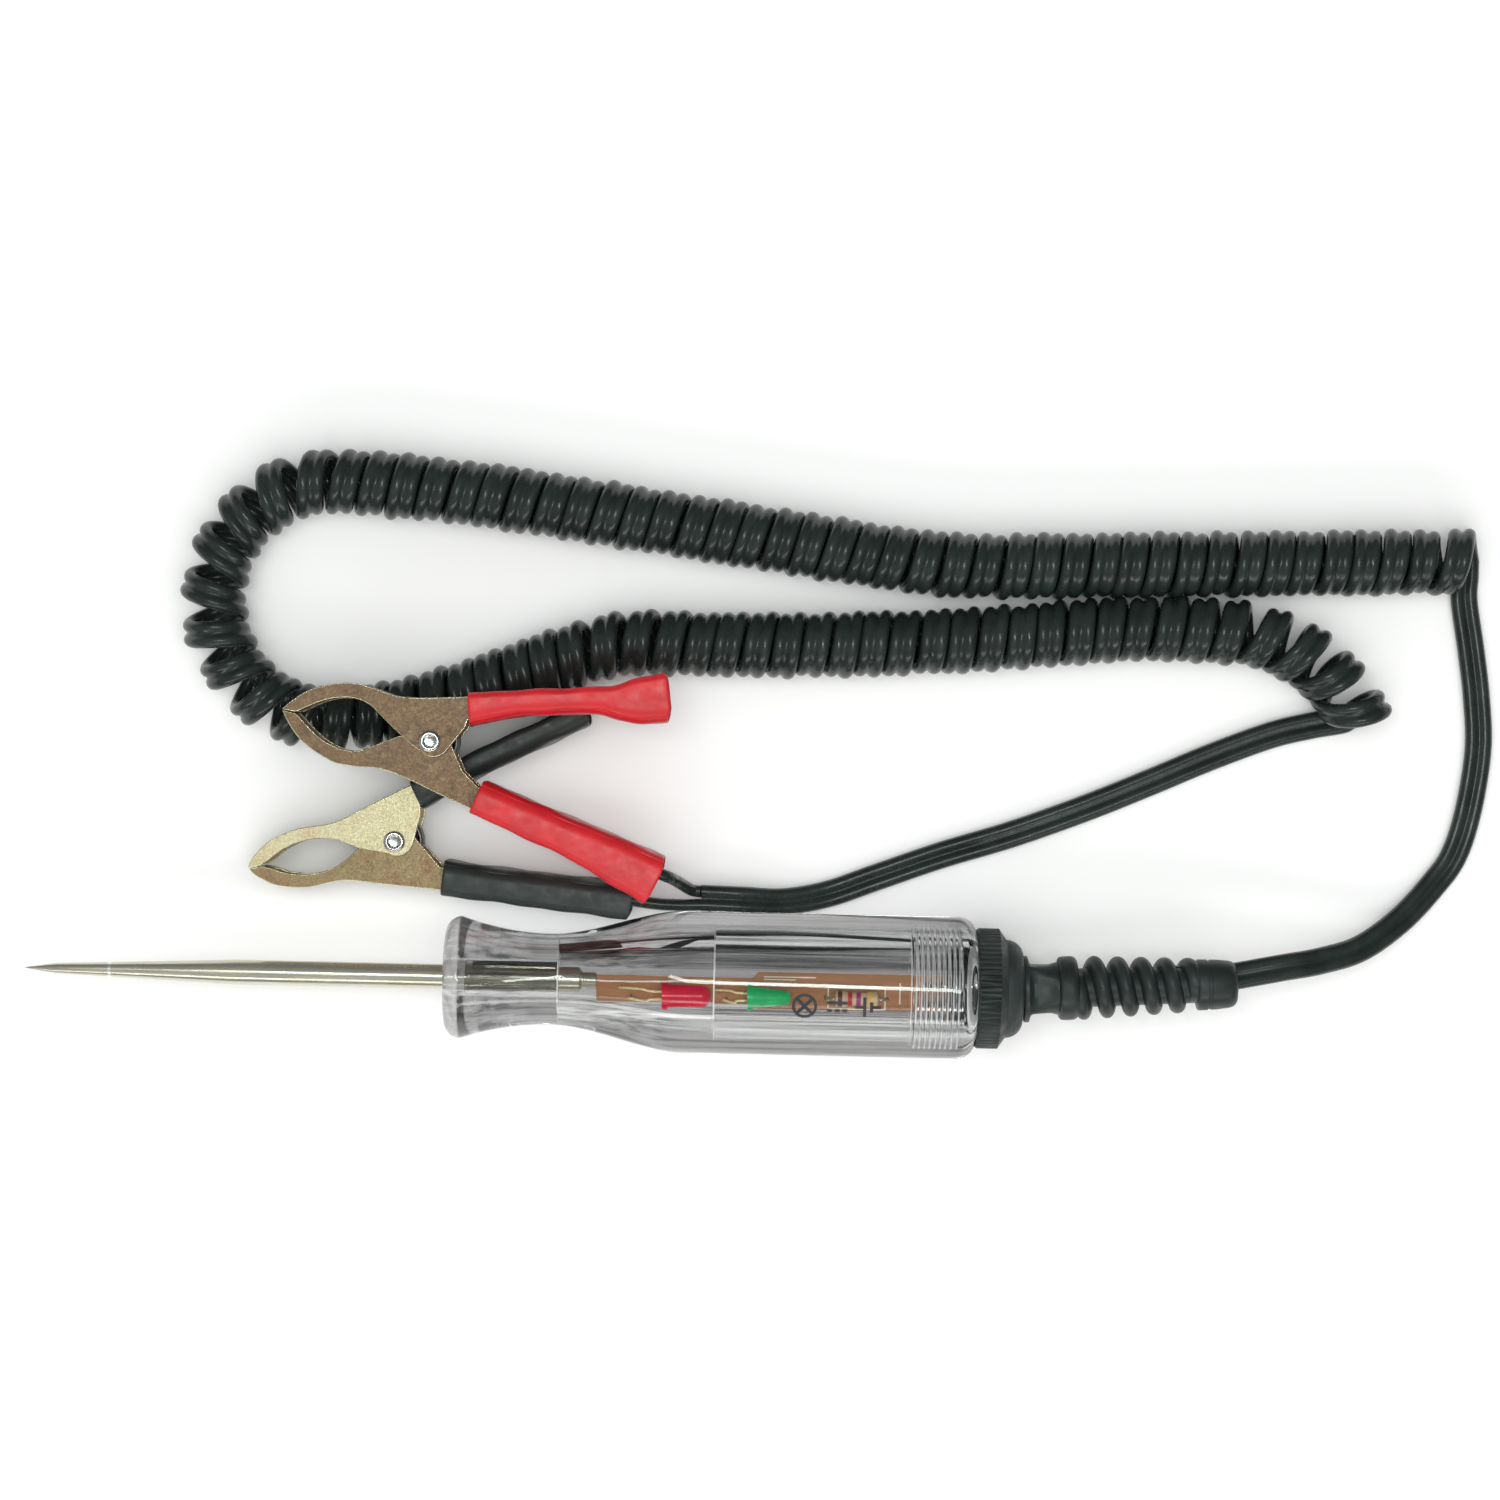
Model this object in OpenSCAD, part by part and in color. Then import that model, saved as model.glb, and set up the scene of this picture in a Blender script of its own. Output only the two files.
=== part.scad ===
// Circuit test light: a needle probe in a clear handle with two indicator lamps inside,
// joined by a coiled twin cord to a red and a black spring clip.
// The tester's axis is X, its tip points to -X, and Z is up from the bench it lies on.
// The origin is on that axis, where the probe leaves the handle's front face.

/* [Probe] */
// Diameter of the probe rod
probe_d = 4.76; // [3:0.01:5.2]
// Length of the probe in front of the handle
probe_len = 80; // [60:1:100]

/* [Handle] */
// Length of the clear handle
handle_len = 100.6; // [98:0.1:102]
// Diameter of the barrel
barrel_d = 27; // [25:0.5:30]
// Diameter of the waist behind the collar
waist_d = 17.3; // [16.5:0.1:19]
// Diameter of the front collar
collar_d = 23.2; // [22:0.1:25]

/* [Screw cap] */
// Pitch of the thread between cap and handle
thread_pitch = 1; // [0.9:0.05:1.2]
// Diameter of the knurled ring
cap_d = 22.8; // [20:0.1:24]

/* [Cord] */
// Width of the flat twin cord
cord_w = 5.2; // [4.4:0.1:5.3]
// Thickness of the flat twin cord
cord_t = 2.6; // [2:0.1:2.7]
// Turns in the coiled length
coil_turns = 83; // [70:1:85]
// Outer diameter of the coil
coil_d = 12.9; // [11:0.1:13]

/* [Clips] */
// Width of a clip's outer half
clip_w = 11; // [10.5:0.1:11.2]
// Thickness of the clips' sheet steel
clip_t = 0.9; // [0.6:0.1:1]
// Slope of the clips' upper handles
upper_slope = 15; // [14:0.5:16]
// Slope of the red clip's lower handle
red_slope = 12.5; // [12:0.5:15]
// Slope of the black clip's lower handle
black_slope = 17; // [15:0.5:18]

/* [Hidden] */

// The bench is the plane that the handle's barrel rests on.
bench_z = -barrel_d / 2;
eps = 0.02;

// Places along the handle
probe_r = probe_d / 2;
groove_r = probe_r - 0.2;
bore_x = 21.5;
step_x = 51;
thread_x = 88.5;
front_bore_r = 5.3;
taper_end_r = 6.7;
rear_bore_r = 7.35;
thread_depth = 0.5;
thread_gap = 0.14;

// Places along the cap
insert_x = 95.2;
// The ridge starts a whole number of turns behind the groove, so that it lies in it.
ridge_x = thread_x + thread_pitch * ceil((insert_x + 0.9 - thread_x) / thread_pitch);
seat_x = handle_len + 0.05;
ring_len = 4.5;
dome_x = 109.5;
cap_wall = 2;
cap_hole_r = 5;
cap_cavity_r = 6;

// Strain relief: its root is straight, and its tail leans slightly as it lies
neck_x = dome_x + 0.1;
relief_lean = 2.65;
ring_x = 116.3;
ring_end_x = 119.9;
ribs_x = 120.8;
collar_x = 142.5;
relief_end_x = 150.2;
rib_pitch = 4.45;
cord_in = [103.5, 0, 0];
cord_out = [relief_end_x, 3.4, 0];

// Board
board_t = 1.6;
board_top = 0.2;
board_x0 = 29.6;
board_x1 = 94.6;
board_y = [-4.85, -4.0, 1.0, 2.2];
board_step_x = 58.3;
lamp_y = -2.3;
lamp_r = 2;
flange_r = 2.35;
red_x = 41.7;
green_x = 57.3;
lamp_z = board_top + flange_r + 0.03;
lead_r = 0.25;
lead_hole_r = 0.42;
resistor_x = 73.8;
resistor_len = 8.3;
resistor_r = 1.45;
resistor_y = -2.4;
resistor_z = board_top + resistor_r + 0.05;
wire_r = 1.15;

// Coil: its centre line as stretches of [length, bend in degrees], from the handle's end
coil_from = [192.9, 83.4];
coil_heading = 181.8;
coil_runs = [
    [87.9, 0], [22.5, -9.4], [69.8, 0], [36.6, 5.5], [74.7, 187.4], [23.9, 15],
    [23.1, 0], [15.8, -21.2], [79.8, 7.1], [31.5, -10], [30, -60],
];
coil_r = coil_d / 2;
coil_mid_r = coil_r - cord_t / 2;
coil_z = bench_z + coil_r + 0.02;
cord_z = coil_z - coil_mid_r;
coil_step = 0.55;
// The last turns lean: their tops lie this far ahead of their middles.
coil_lean = 2.3;
lean_len = 33;
// The first and last turns stand off their neighbours, which the straight lengths pass.
lead_room = 1.5;
// Space between two lengths of cord that meet
cord_gap = 0.15;

// Clips: each lies on its side, its rivet upright
black_at = [-10.6, 25.35];
red_at = [-3.1, 44.6];
sleeve_w = 12.5;
black_z = bench_z + sleeve_w / 2 + 0.02;
red_z = black_z + sleeve_w + 0.25;
black_turn = 11.45;
red_turn = -10.95;
inner_w = clip_w - 2 * clip_t - 0.2;
rivet_r = 1.5;
rivet_head_r = 2.05;
spring_wire_r = 0.6;
spring_r = 4.7;
spring_lean = 21;
spring_leg = 13;
sleeve_wall = 0.65;
sleeve_corner_r = 1.7;
split = [48, 15.6, cord_z + 3.7];

// Backs of the four handles, each as the place where it starts and its slope
red_upper_line = [[4.05, 9.4], upper_slope];
red_lower_line = [[4.05, 9.4], red_slope];
black_upper_line = [[4.05, 9.8], upper_slope];
black_lower_line = [[4.05, 9.8], black_slope];

// Outer faces and hollows of the jaws, from the tip and from the ear
red_back = [
    [-28.3, 0.1], [-27, 1.8], [-25.2, 3.7], [-23, 5.3], [-20, 6.7], [-16.3, 7.7], [-12, 7.5],
    [-8, 7], [-3, 7.7],
];
red_hollow = [
    [-3.6, -1.2], [-5.6, 0.05], [-8, 1.5], [-10.4, 3.1], [-12.5, 4.35], [-14.8, 4.9],
    [-17.4, 4.65], [-20.2, 3.7], [-22.6, 2.3], [-25.3, 0.35],
];
black_back = [
    [-28.3, 0.1], [-27.4, 1.5], [-25.4, 3.2], [-23.4, 4.35], [-21, 5.1], [-17.5, 5.7], [-12, 5.5],
    [-8.9, 6], [-3, 7.8],
];
black_hollow = [
    [-3.9, -1.1], [-7, 0.1], [-10.1, 1.95], [-12.8, 2.95], [-15.6, 3.3], [-18.4, 3.05],
    [-21.6, 2.15], [-23.8, 1], [-25.4, 0.25],
];

// Sleeves, as [distance along the handle, outer edge, inner edge]
red_upper_shape = [
    [1.2, -0.75, 5.5], [6, -0.75, 4.75], [12, -0.75, 4.05], [18, -0.75, 4.25], [25, -0.75, 4.5],
    [29, -0.8, 5.8], [33.5, -2, 6.65], [38.2, -2.7, 6.7],
];
red_lower_shape = [
    [6.2, -0.75, 5.85], [14, -0.75, 6.05], [24, -0.8, 6.4], [30, -1.15, 6.65], [36, -1.9, 6.85],
    [43, -2.7, 6.95],
];
black_upper_shape = [
    [1, -0.75, 5.1], [5, -0.75, 4.75], [12, -0.75, 4.15], [24, -0.75, 4.1], [36.6, -0.75, 4.15],
];
black_lower_shape = [
    [3.2, -0.95, 5.95], [8, -1, 5.6], [14, -1.1, 5.5], [24, -1.2, 5.5], [33, -1.35, 5.5],
    [39, -1.4, 5.4],
];

// ---------- general shapes ----------

// Point on a smooth curve through four knots, between the middle two
function curve_at(a, b, c, d, t) =
    0.5 * (2 * b + (c - a) * t + (2 * a - 5 * b + 4 * c - d) * t * t
        + (3 * b - a - 3 * c + d) * t * t * t);

// Smooth curve through all knots, with m steps between neighbours
function smooth(k, m) = let (last = len(k) - 1) [
    for (i = [0:last - 1]) for (j = [0:m - 1])
        curve_at(k[max(i - 1, 0)], k[i], k[i + 1], k[min(i + 2, last)], j / m),
    k[last],
];

function unit(v) = v / norm(v);
function ease(t) = t * t * (3 - 2 * t);

// Direction of a path at its point i
function heading_at(path, i) =
    unit(path[min(i + 1, len(path) - 1)] - path[max(i - 1, 0)]);

// Flat outline with clipped corners, w wide and t thick
function flat_section(w, t) = let (c = t * 0.3) [
    [w / 2, t / 2 - c], [w / 2 - c, t / 2], [c - w / 2, t / 2], [-w / 2, t / 2 - c],
    [-w / 2, c - t / 2], [c - w / 2, -t / 2], [w / 2 - c, -t / 2], [w / 2, c - t / 2],
];

// Round outline with n corners
function round_section(r, n) = [for (i = [0:n - 1]) r * [cos(i * 360 / n), sin(i * 360 / n)]];

// Outlines set square to a path, each kept level across
function swept(path, section) = [
    for (i = [0:len(path) - 1]) let (
        along = heading_at(path, i),
        side = unit(cross([0, 0, 1], along)),
        up = cross(along, side)
    ) [for (p = section) path[i] + p.x * side + p.y * up],
];

// Closed solid over a row of outlines. A looped skin joins its last outline to its first.
module skin(rings, looped = false) {
    m = len(rings[0]);
    n = len(rings);
    points = [for (r = rings) each r];
    sides = [
        for (i = [0:n - (looped ? 1 : 2)]) for (j = [0:m - 1]) let (
            a = i * m + j,
            b = i * m + (j + 1) % m,
            c = ((i + 1) % n) * m + (j + 1) % m,
            d = ((i + 1) % n) * m + j
        ) each [[a, c, b], [a, d, c]],
    ];
    ends = looped ? [] : [[for (j = [0:m - 1]) j], [for (j = [m - 1:-1:0]) (n - 1) * m + j]];
    polyhedron(points, concat(sides, ends));
}

// Turned solid about the X axis, from [x, radius] points
module turned(profile) {
    rotate([0, 90, 0]) rotate_extrude($fn = 96) polygon([for (p = profile) [p.y, p.x]]);
}

module rod_x(r, x0, x1) {
    translate([x0, 0, 0]) rotate([0, 90, 0]) cylinder(r = r, h = x1 - x0, $fn = 64);
}

// Quarter of an ellipse about [x, y], from angle a0 by 90 degrees
function quarter(x, y, rx, ry, a0) = [
    for (a = [0:15:90]) [x + rx * cos(a0 + a), y + ry * sin(a0 + a)],
];

// Helical ridge about X: its foot is foot_w wide at foot_r, its crest crest_w at crest_r
module helix(x0, turns, foot_r, crest_r, foot_w, crest_w) {
    steps = 30;
    skin([
        for (i = [0:turns * steps]) let (
            a = i * 360 / steps,
            x = x0 + thread_pitch * i / steps,
            out = [0, cos(a), sin(a)]
        ) [
            [x + foot_w / 2, 0, 0] + foot_r * out, [x + crest_w / 2, 0, 0] + crest_r * out,
            [x - crest_w / 2, 0, 0] + crest_r * out, [x - foot_w / 2, 0, 0] + foot_r * out,
        ],
    ]);
}

// ---------- tester ----------

handle_outline = concat(
    [[0, 0]],
    quarter(2.9, collar_d / 2 - 2.8, -2.9, 2.8, 0),
    [for (x = [5.5:2.5:18]) [x, waist_d / 2 + (collar_d - waist_d) / 2 * pow((20 - x) / 17.1, 2)]],
    [for (x = [20:2.6:46]) [x, waist_d / 2 + (barrel_d - waist_d) / 2 * ease((x - 20) / 26)]],
    quarter(handle_len - 3.6, barrel_d / 2 - 3.4, -3.6, 3.4, 90),
    [[handle_len, 0]]
);

module handle() color([0.86, 0.9, 0.92, 0.4]) difference() {
    turned(handle_outline);
    rod_x(probe_r + 0.05, -1, bore_x + 1);
    turned([
        [bore_x, 0], [bore_x, front_bore_r], [step_x, taper_end_r],
        [step_x, rear_bore_r], [handle_len - 0.6, rear_bore_r],
        [handle_len + 0.1, rear_bore_r + 0.8], [handle_len + 0.1, 0],
    ]);
    helix(thread_x, 13, rear_bore_r - 0.25, rear_bore_r + thread_depth, 0.9, 0.34);
}

module probe() color("silver") difference() {
    turned([
        [-probe_len, 0], [-probe_len, 0.08], [6 - probe_len, 1.02], [16 - probe_len, 1.37],
        [16 - probe_len, 1.5], [16.3 - probe_len, 1.5], [16.3 - probe_len, 1.38],
        [40 - probe_len, probe_r], [0, probe_r], [0.1, groove_r], [1.1, groove_r],
        [1.2, probe_r], [bore_x + 4.6, probe_r], [bore_x + 5.1, 1.65],
        for (i = [0:3]) each [
            [bore_x + 5.2 + i * 0.7, 1.65], [bore_x + 5.4 + i * 0.7, 1.4],
            [bore_x + 5.6 + i * 0.7, 1.4], [bore_x + 5.8 + i * 0.7, 1.65],
        ],
        [board_x0 - 0.15, 1.65], [board_x0 - 0.15, 0],
    ]);
    // The shank is fluted where the handle grips it.
    for (a = [0:22.5:359])
        rotate([a, 0, 0]) translate([7, -0.22, probe_r - 0.2]) cube([14, 0.44, 1]);
}

// Holes and solder lands share these places.
lead_places = [
    [34.6, -1.2], [36.4, -3.1], [51.7, -1.3], [53.3, -3.1],
    [resistor_x - 1.6, resistor_y], [resistor_x + resistor_len + 1.6, resistor_y],
];
wire_places = [[91.4, -3.1], [91.4, 0.4]];

module circuit_board() color("saddlebrown") difference() {
    translate([0, 0, board_top - board_t]) linear_extrude(board_t) polygon([
        [board_x0, board_y[1]], [board_step_x, board_y[1]],
        [board_step_x + 1, board_y[0]], [board_x1, board_y[0]], [board_x1, board_y[3]],
        [board_step_x + 1, board_y[3]], [board_step_x, board_y[2]], [board_x0, board_y[2]],
    ]);
    for (p = concat(lead_places, wire_places))
        translate([p.x, p.y, -board_t - 1]) cylinder(r = lead_hole_r, h = 4, $fn = 24);
}

// Lamp body, dome towards +X, its flange at x = 0
module lamp_body(body_len, tail_r) {
    turned(concat(
        [[0, 0], [0, flange_r], [1, flange_r], [1, lamp_r]],
        [for (a = [0:15:90])
            [body_len - tail_r * 0.8 + tail_r * 0.8 * sin(a), tail_r * cos(a)]]
    ));
}

module red_led() color("crimson")
    translate([red_x, lamp_y, lamp_z]) lamp_body(8.6, 1.9);

module green_led() color("seagreen")
    translate([green_x, lamp_y, lamp_z]) lamp_body(8.3, 1.25);

// One formed lead: out of the lamp's back, round in a loop and down through the board
module lamp_lead(x, side, hole, reach) {
    skin(swept(smooth([
        [x - 0.03, lamp_y + side * 0.64, lamp_z], [x - 2, lamp_y + side * 0.75, lamp_z + 0.15],
        [x - reach * 0.62, lamp_y + side * 1.1, lamp_z + 0.2],
        [hole.x - 0.35, hole.y + 0.1, lamp_z - 0.5],
        [hole.x - 0.1, hole.y, 1.2], [hole.x, hole.y, 0], [hole.x + 0.04, hole.y, -1.35],
    ], 4), round_section(lead_r, 6)));
}

module led_leads() color("goldenrod") {
    lamp_lead(red_x, 1, lead_places[0], 6.2);
    lamp_lead(red_x, -1, lead_places[1], 4.4);
    lamp_lead(green_x, 1, lead_places[2], 5.5);
    lamp_lead(green_x, -1, lead_places[3], 3.9);
}

module resistor() color("burlywood") translate([resistor_x, resistor_y, resistor_z]) turned([
    [0, 0], [0, resistor_r * 0.6], [0.3, resistor_r], [1.9, resistor_r],
    [2.4, resistor_r * 0.86], [resistor_len - 2.4, resistor_r * 0.86],
    [resistor_len - 1.9, resistor_r], [resistor_len - 0.3, resistor_r],
    [resistor_len, resistor_r * 0.6], [resistor_len, 0],
]);

module resistor_leads() color("silver") for (end = [0, 1]) let (
    way = end == 0 ? -1 : 1,
    x = resistor_x + end * resistor_len + way * 0.03
) skin(swept(smooth([
    [x, resistor_y, resistor_z], [x + way * 0.8, resistor_y, resistor_z],
    [x + way * 1.4, resistor_y, resistor_z - 0.5], [x + way * 1.57, resistor_y, 0],
    [x + way * 1.6, resistor_y, -1.35],
], 4), round_section(lead_r + 0.05, 6)));

// Low dome of radius r and height h, standing on z = 0
module round_cap(r, h) intersection() {
    translate([0, 0, h - (r * r + h * h) / (2 * h)]) sphere(r = (r * r + h * h) / (2 * h), $fn = 48);
    cylinder(r = r, h = h, $fn = 48);
}

module solder_joints() color("lightgray") {
    for (p = concat(lead_places, wire_places))
        translate([p.x, p.y, board_top - board_t - eps]) mirror([0, 0, 1]) round_cap(1, 0.8);
    // Joint under the probe's tail and the board's front edge
    translate([board_x0 + 1.6, -1.2, board_top - board_t - eps])
        mirror([0, 0, 1]) round_cap(1.4, 0.9);
}

// Two wires from the board's far end to the cord inside the cap
module board_wires() color([0.15, 0.16, 0.16]) for (i = [0, 1]) let (
    p = wire_places[i],
    side = i == 0 ? -1 : 1
) skin(swept(smooth([
    [p.x, p.y, board_top + 0.1], [p.x + 0.3, p.y, board_top + 1.2],
    [p.x + 2.2, p.y * 0.95, board_top + 1.7], [p.x + 6, side * 1.9, 1.3],
    [cord_in.x - 2.5, side * 1.35, 0.3], [cord_in.x - cord_gap, side * 1.3, 0],
], 5), round_section(0.65, 8)));

// ---------- screw cap and strain relief ----------

module end_cap() color([0.2, 0.22, 0.22]) difference() {
    union() {
        turned(concat(
            [
                [insert_x, 0], [insert_x, rear_bore_r - 0.55], [insert_x + 0.4, rear_bore_r - 0.14],
                [seat_x, rear_bore_r - 0.14], [seat_x, cap_d / 2 - 0.25],
                [seat_x + 0.3, cap_d / 2], [seat_x + ring_len - 0.3, cap_d / 2],
                [seat_x + ring_len, cap_d / 2 - 0.5], [seat_x + ring_len + 1, cap_d / 2 - 1.9],
            ],
            quarter(dome_x - 3.2, cap_d / 2 - 5.1, -3.2, 3, 90),
            [[dome_x, 0]]
        ));
        helix(ridge_x, 3.6, rear_bore_r - 0.4, rear_bore_r + thread_depth - thread_gap, 0.66, 0.16);
    }
    rod_x(cap_cavity_r, insert_x - 1, dome_x - cap_wall);
    rod_x(cap_hole_r, insert_x - 1, dome_x + 1);
    // Fine knurl round the ring
    for (a = [0:360 / 64:359])
        rotate([a, 0, 0]) translate([seat_x + 0.3, 0, cap_d / 2 + 0.06])
            rotate([0, 90, 0]) cylinder(r = 0.36, h = ring_len - 0.6, $fn = 4);
}

// Frame of the relief's leaning tail, hinged where it leaves the cap
module lean() {
    translate([neck_x, 0, 0]) rotate([0, 0, relief_lean]) translate([-neck_x, 0, 0]) children();
}

module strain_relief() color([0.2, 0.22, 0.22]) difference() {
    union() {
        // Groove that the cap turns on, and the flange that keeps it there
        turned([
            [103.9, 0], [103.9, 4.6], [104.4, 5.8], [dome_x - cap_wall - 0.1, 5.8],
            [dome_x - cap_wall - 0.1, cap_hole_r - 0.08], [neck_x, cap_hole_r - 0.08],
            [neck_x, 6.2], [neck_x + 0.8, 6.3], [neck_x + 1, 0],
        ]);
        lean() difference() {
            turned([
                [neck_x + 0.3, 0], [neck_x + 0.3, 6.3], [neck_x + 2, 6], [neck_x + 4, 5.3],
                [neck_x + 5.5, 5.05], [ring_x, 5.05], [ring_x, 5.6], [ring_x + 0.5, 6],
                [ring_end_x - 0.9, 6.05], [ring_end_x, 5.4], [ring_end_x, 0],
            ]);
            for (a = [0:90:359])
                rotate([a, 0, 0]) translate([neck_x + 1.2, -2.6, 4.5]) cube([4.6, 5.2, 3]);
        }
        // Core round the cord, and the helical rib that lets it flex
        lean() {
            translate([ring_end_x - 1, 0.65, 0]) rotate([0, 0, 2.6]) rotate([0, 90, 0])
                cylinder(r1 = 3.7, r2 = 3.35, h = collar_x - ring_end_x + 1.5, $fn = 64);
            relief_rib();
            turned([
                [collar_x, 0], [collar_x, 4.5], [collar_x + 0.4, 4.85], [collar_x + 2.1, 4.8],
                [collar_x + 2.3, 4.6], [collar_x + 2.7, 4.6], [collar_x + 2.9, 4.75],
                [relief_end_x - 1.4, 4.4], [relief_end_x - 0.4, 3.9], [relief_end_x, 3.3],
                [relief_end_x, 0],
            ]);
        }
    }
    // Passage for the cord
    cord_passage();
}

module relief_rib() {
    steps = 20;
    turns = 5;
    skin([
        for (i = [0:turns * steps]) let (
            t = i / (turns * steps),
            a = 90 + i * 360 / steps,
            r = 6.15 - 1 * t,
            x = ribs_x + 0.3 + rib_pitch * (i / steps - 0.25),
            out = [0, cos(a), sin(a)],
            foot = [x, 1.25 * t, 0] + 2.9 * out
        ) [
            foot + [1.35, 0, 0], [x + 0.75, 0, 0] + (r - 0.5) * out, [x, 0, 0] + r * out,
            [x - 0.75, 0, 0] + (r - 0.5) * out, foot + [-1.35, 0, 0],
        ],
    ]);
}

module cord_passage() {
    way = cord_out - cord_in;
    translate(cord_in - unit(way) * 0.5) rotate([0, 0, atan2(way.y, way.x)])
        translate([0, -cord_w / 2 - 0.06, -cord_t / 2 - 0.06])
            cube([norm(way) + 2, cord_w + 0.12, cord_t + 0.12]);
}

// ---------- cord ----------

// Place after going s along an arc of length l and bend b that starts at p, heading h
function go(p, h, l, b, s) = abs(b) < 0.01 ? p + s * [cos(h), sin(h)]
    : let (r = l / (b * PI / 180), t = b * s / l) p + r * [sin(h + t) - sin(h), cos(h) - cos(h + t)];

// Start of each stretch, as [distance, place, heading, bend so far]
function stretches(i, s, p, h, bent) = i == len(coil_runs) ? [[s, p, h, bent]] : let (
    l = coil_runs[i][0],
    b = coil_runs[i][1]
) concat([[s, p, h, bent]], stretches(i + 1, s + l, go(p, h, l, b, l), h + b, bent + abs(b)));

coil_starts = stretches(0, 0, coil_from, coil_heading, 0);
coil_end = coil_starts[len(coil_runs)];
coil_len = coil_end[0];

// Turns stay packed on the inside of a bend and fan out on its outside.
function inner_len(s, bent) = s - coil_r * bent * PI / 180;
turn_pitch = inner_len(coil_len, coil_end[3]) / coil_turns;

// Centre line at distance s, as [place, heading, bend so far]
function coil_at(s) = let (
    i = max([for (j = [0:len(coil_runs) - 1]) if (coil_starts[j][0] <= s + 1e-6) j]),
    k = coil_starts[i],
    l = coil_runs[i][0],
    b = coil_runs[i][1],
    d = s - k[0]
) [go(k[1], k[2], l, b, d), k[2] + b * d / l, k[3] + abs(b) * d / l];

// How far a turn's top lies ahead of its middle at distance s
function lean_at(s) = coil_lean * ease(max(0, 1 - (coil_len - s) / lean_len));

// How far a turn is moved along the coil's heading to make room for a straight length
function room_at(s) = lead_room
    * (ease(max(0, 1 - (coil_len - s) / turn_pitch)) - ease(max(0, 1 - s / turn_pitch)));

// Where the cord enters and leaves the coil, under its end turns, and which way it leaves
coil_entry = [
    coil_from.x - lead_room * cos(coil_heading), coil_from.y - lead_room * sin(coil_heading),
    cord_z,
];
coil_exit = [coil_end[1].x, coil_end[1].y, cord_z]
    + (lead_room - coil_lean) * [cos(coil_end[2]), sin(coil_end[2]), 0];
exit_way = [sin(coil_end[2]), -cos(coil_end[2]), 0];

// Four corners of the cord where it passes distance s of the coil's centre line
function coil_ring(s) = let (
    c = coil_at(s),
    a = -90 - 360 * inner_len(s, c[2]) / turn_pitch,
    middle = [c[0].x, c[0].y, coil_z],
    along = [cos(c[1]), sin(c[1]), 0],
    left = [-sin(c[1]), cos(c[1]), 0],
    out = cos(a) * left + sin(a) * [0, 0, 1],
    foot = middle + (coil_r - cord_t) * out + (lean_at(s) * sin(a) + room_at(s)) * along
) [
    foot + cord_w / 2 * along, foot - cord_w / 2 * along,
    foot + cord_t * out - cord_w / 2 * along, foot + cord_t * out + cord_w / 2 * along,
];

module coil_cord() color([0.17, 0.19, 0.19]) {
    count = round(coil_len / coil_step);
    skin([for (i = [0:count]) coil_ring(coil_len * i / count)]);
}

// Straight length from the strain relief to the coil
module handle_lead() color([0.17, 0.19, 0.19]) skin(swept(concat(
    [cord_in, (cord_in + cord_out) / 2],
    smooth([
        cord_out, [158.5, 5, -0.9], [166.5, 6.4, -3.3], [174.8, 8.8, -6.9], [183, 14.3, -10.4],
        [189.5, 21.2, -12], [193.4, 27, cord_z], [196, 35.8, cord_z], [197.6, 47.4, cord_z],
        [197.1, 57.1, cord_z], [195.8, 66.7, cord_z], [194.3, 76, cord_z],
        coil_entry - [0, cord_w / 2, 0], coil_entry - [0, cord_gap, 0],
    ], 4)), flat_section(cord_w, cord_t)));

// Straight length from the coil to where the cord splits for the clips
module clip_lead() color([0.17, 0.19, 0.19]) skin(swept(smooth([
    coil_exit + cord_gap * exit_way, coil_exit + cord_w / 4 * exit_way,
    coil_exit + cord_w / 2 * exit_way, [164.9, 51.3, cord_z], [157.3, 49.3, cord_z],
    [146, 44.9, cord_z], [134, 39.6, cord_z], [122, 34.5, cord_z], [108, 29.2, cord_z],
    [94, 24.7, cord_z], [82, 20.3, cord_z], [72.5, 16.8, cord_z], [64, 15.2, cord_z + 1.5],
    [56, 15.4, cord_z + 3.2], split + [cord_gap, 0, 0],
], 4), flat_section(cord_w, cord_t)));

module clip_wire(knots) {
    color([0.17, 0.19, 0.19]) skin(swept(smooth(knots, 5), round_section(wire_r, 8)));
}

module red_clip_wire() clip_wire([
    split + [-cord_gap, cord_w / 4, 0], [46.2, 17.1, -8.3], [44.5, 18.2, -5.2], [42.9, 19.3, -1],
    [40.4, 20.5, 3.6], wire_end(red_at, red_turn, red_lower_line, red_z),
]);

module black_clip_wire() clip_wire([
    split + [-cord_gap, -cord_w / 4, 0], [43.5, 14.2, -8.1], [38, 14.5, -7.6],
    wire_end(black_at, black_turn, black_lower_line, black_z),
]);

// Where a clip's wire stops, beside its solder
function wire_end(at, turn, line, z) =
    clip_point(at, turn, grip_low(line, solder_at + solder_r + 0.1), z);

// ---------- clips, in a clip's own frame: rivet at the origin, handles towards +X ----------

// Place in the bench's frame of a point p in the plane of a clip
function clip_point(at, turn, p, z) = [
    at.x + p.x * cos(turn) - p.y * sin(turn), at.y + p.x * sin(turn) + p.y * cos(turn), z,
];

module on_red() translate([red_at.x, red_at.y, red_z]) rotate([0, 0, red_turn]) children();
module on_black() translate([black_at.x, black_at.y, black_z]) rotate([0, 0, black_turn]) children();

grip_len = 35;
// Depth of the cheeks beside the ear, at the end of their reach, and where they are narrow
grip_depths = [5.8, 4.4, 3.3];
narrow_at = 12;
ear_at = [0.6, 0.4];
ear_r = 3.2;
solder_at = 30;
solder_r = 1.6;

// Place at distance d along a handle's back, and `depth` in from it
function grip_point(line, d, depth) = let (slope = line[1])
    line[0] + d * [cos(slope), sin(slope)] + depth * [sin(slope), -cos(slope)];

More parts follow.
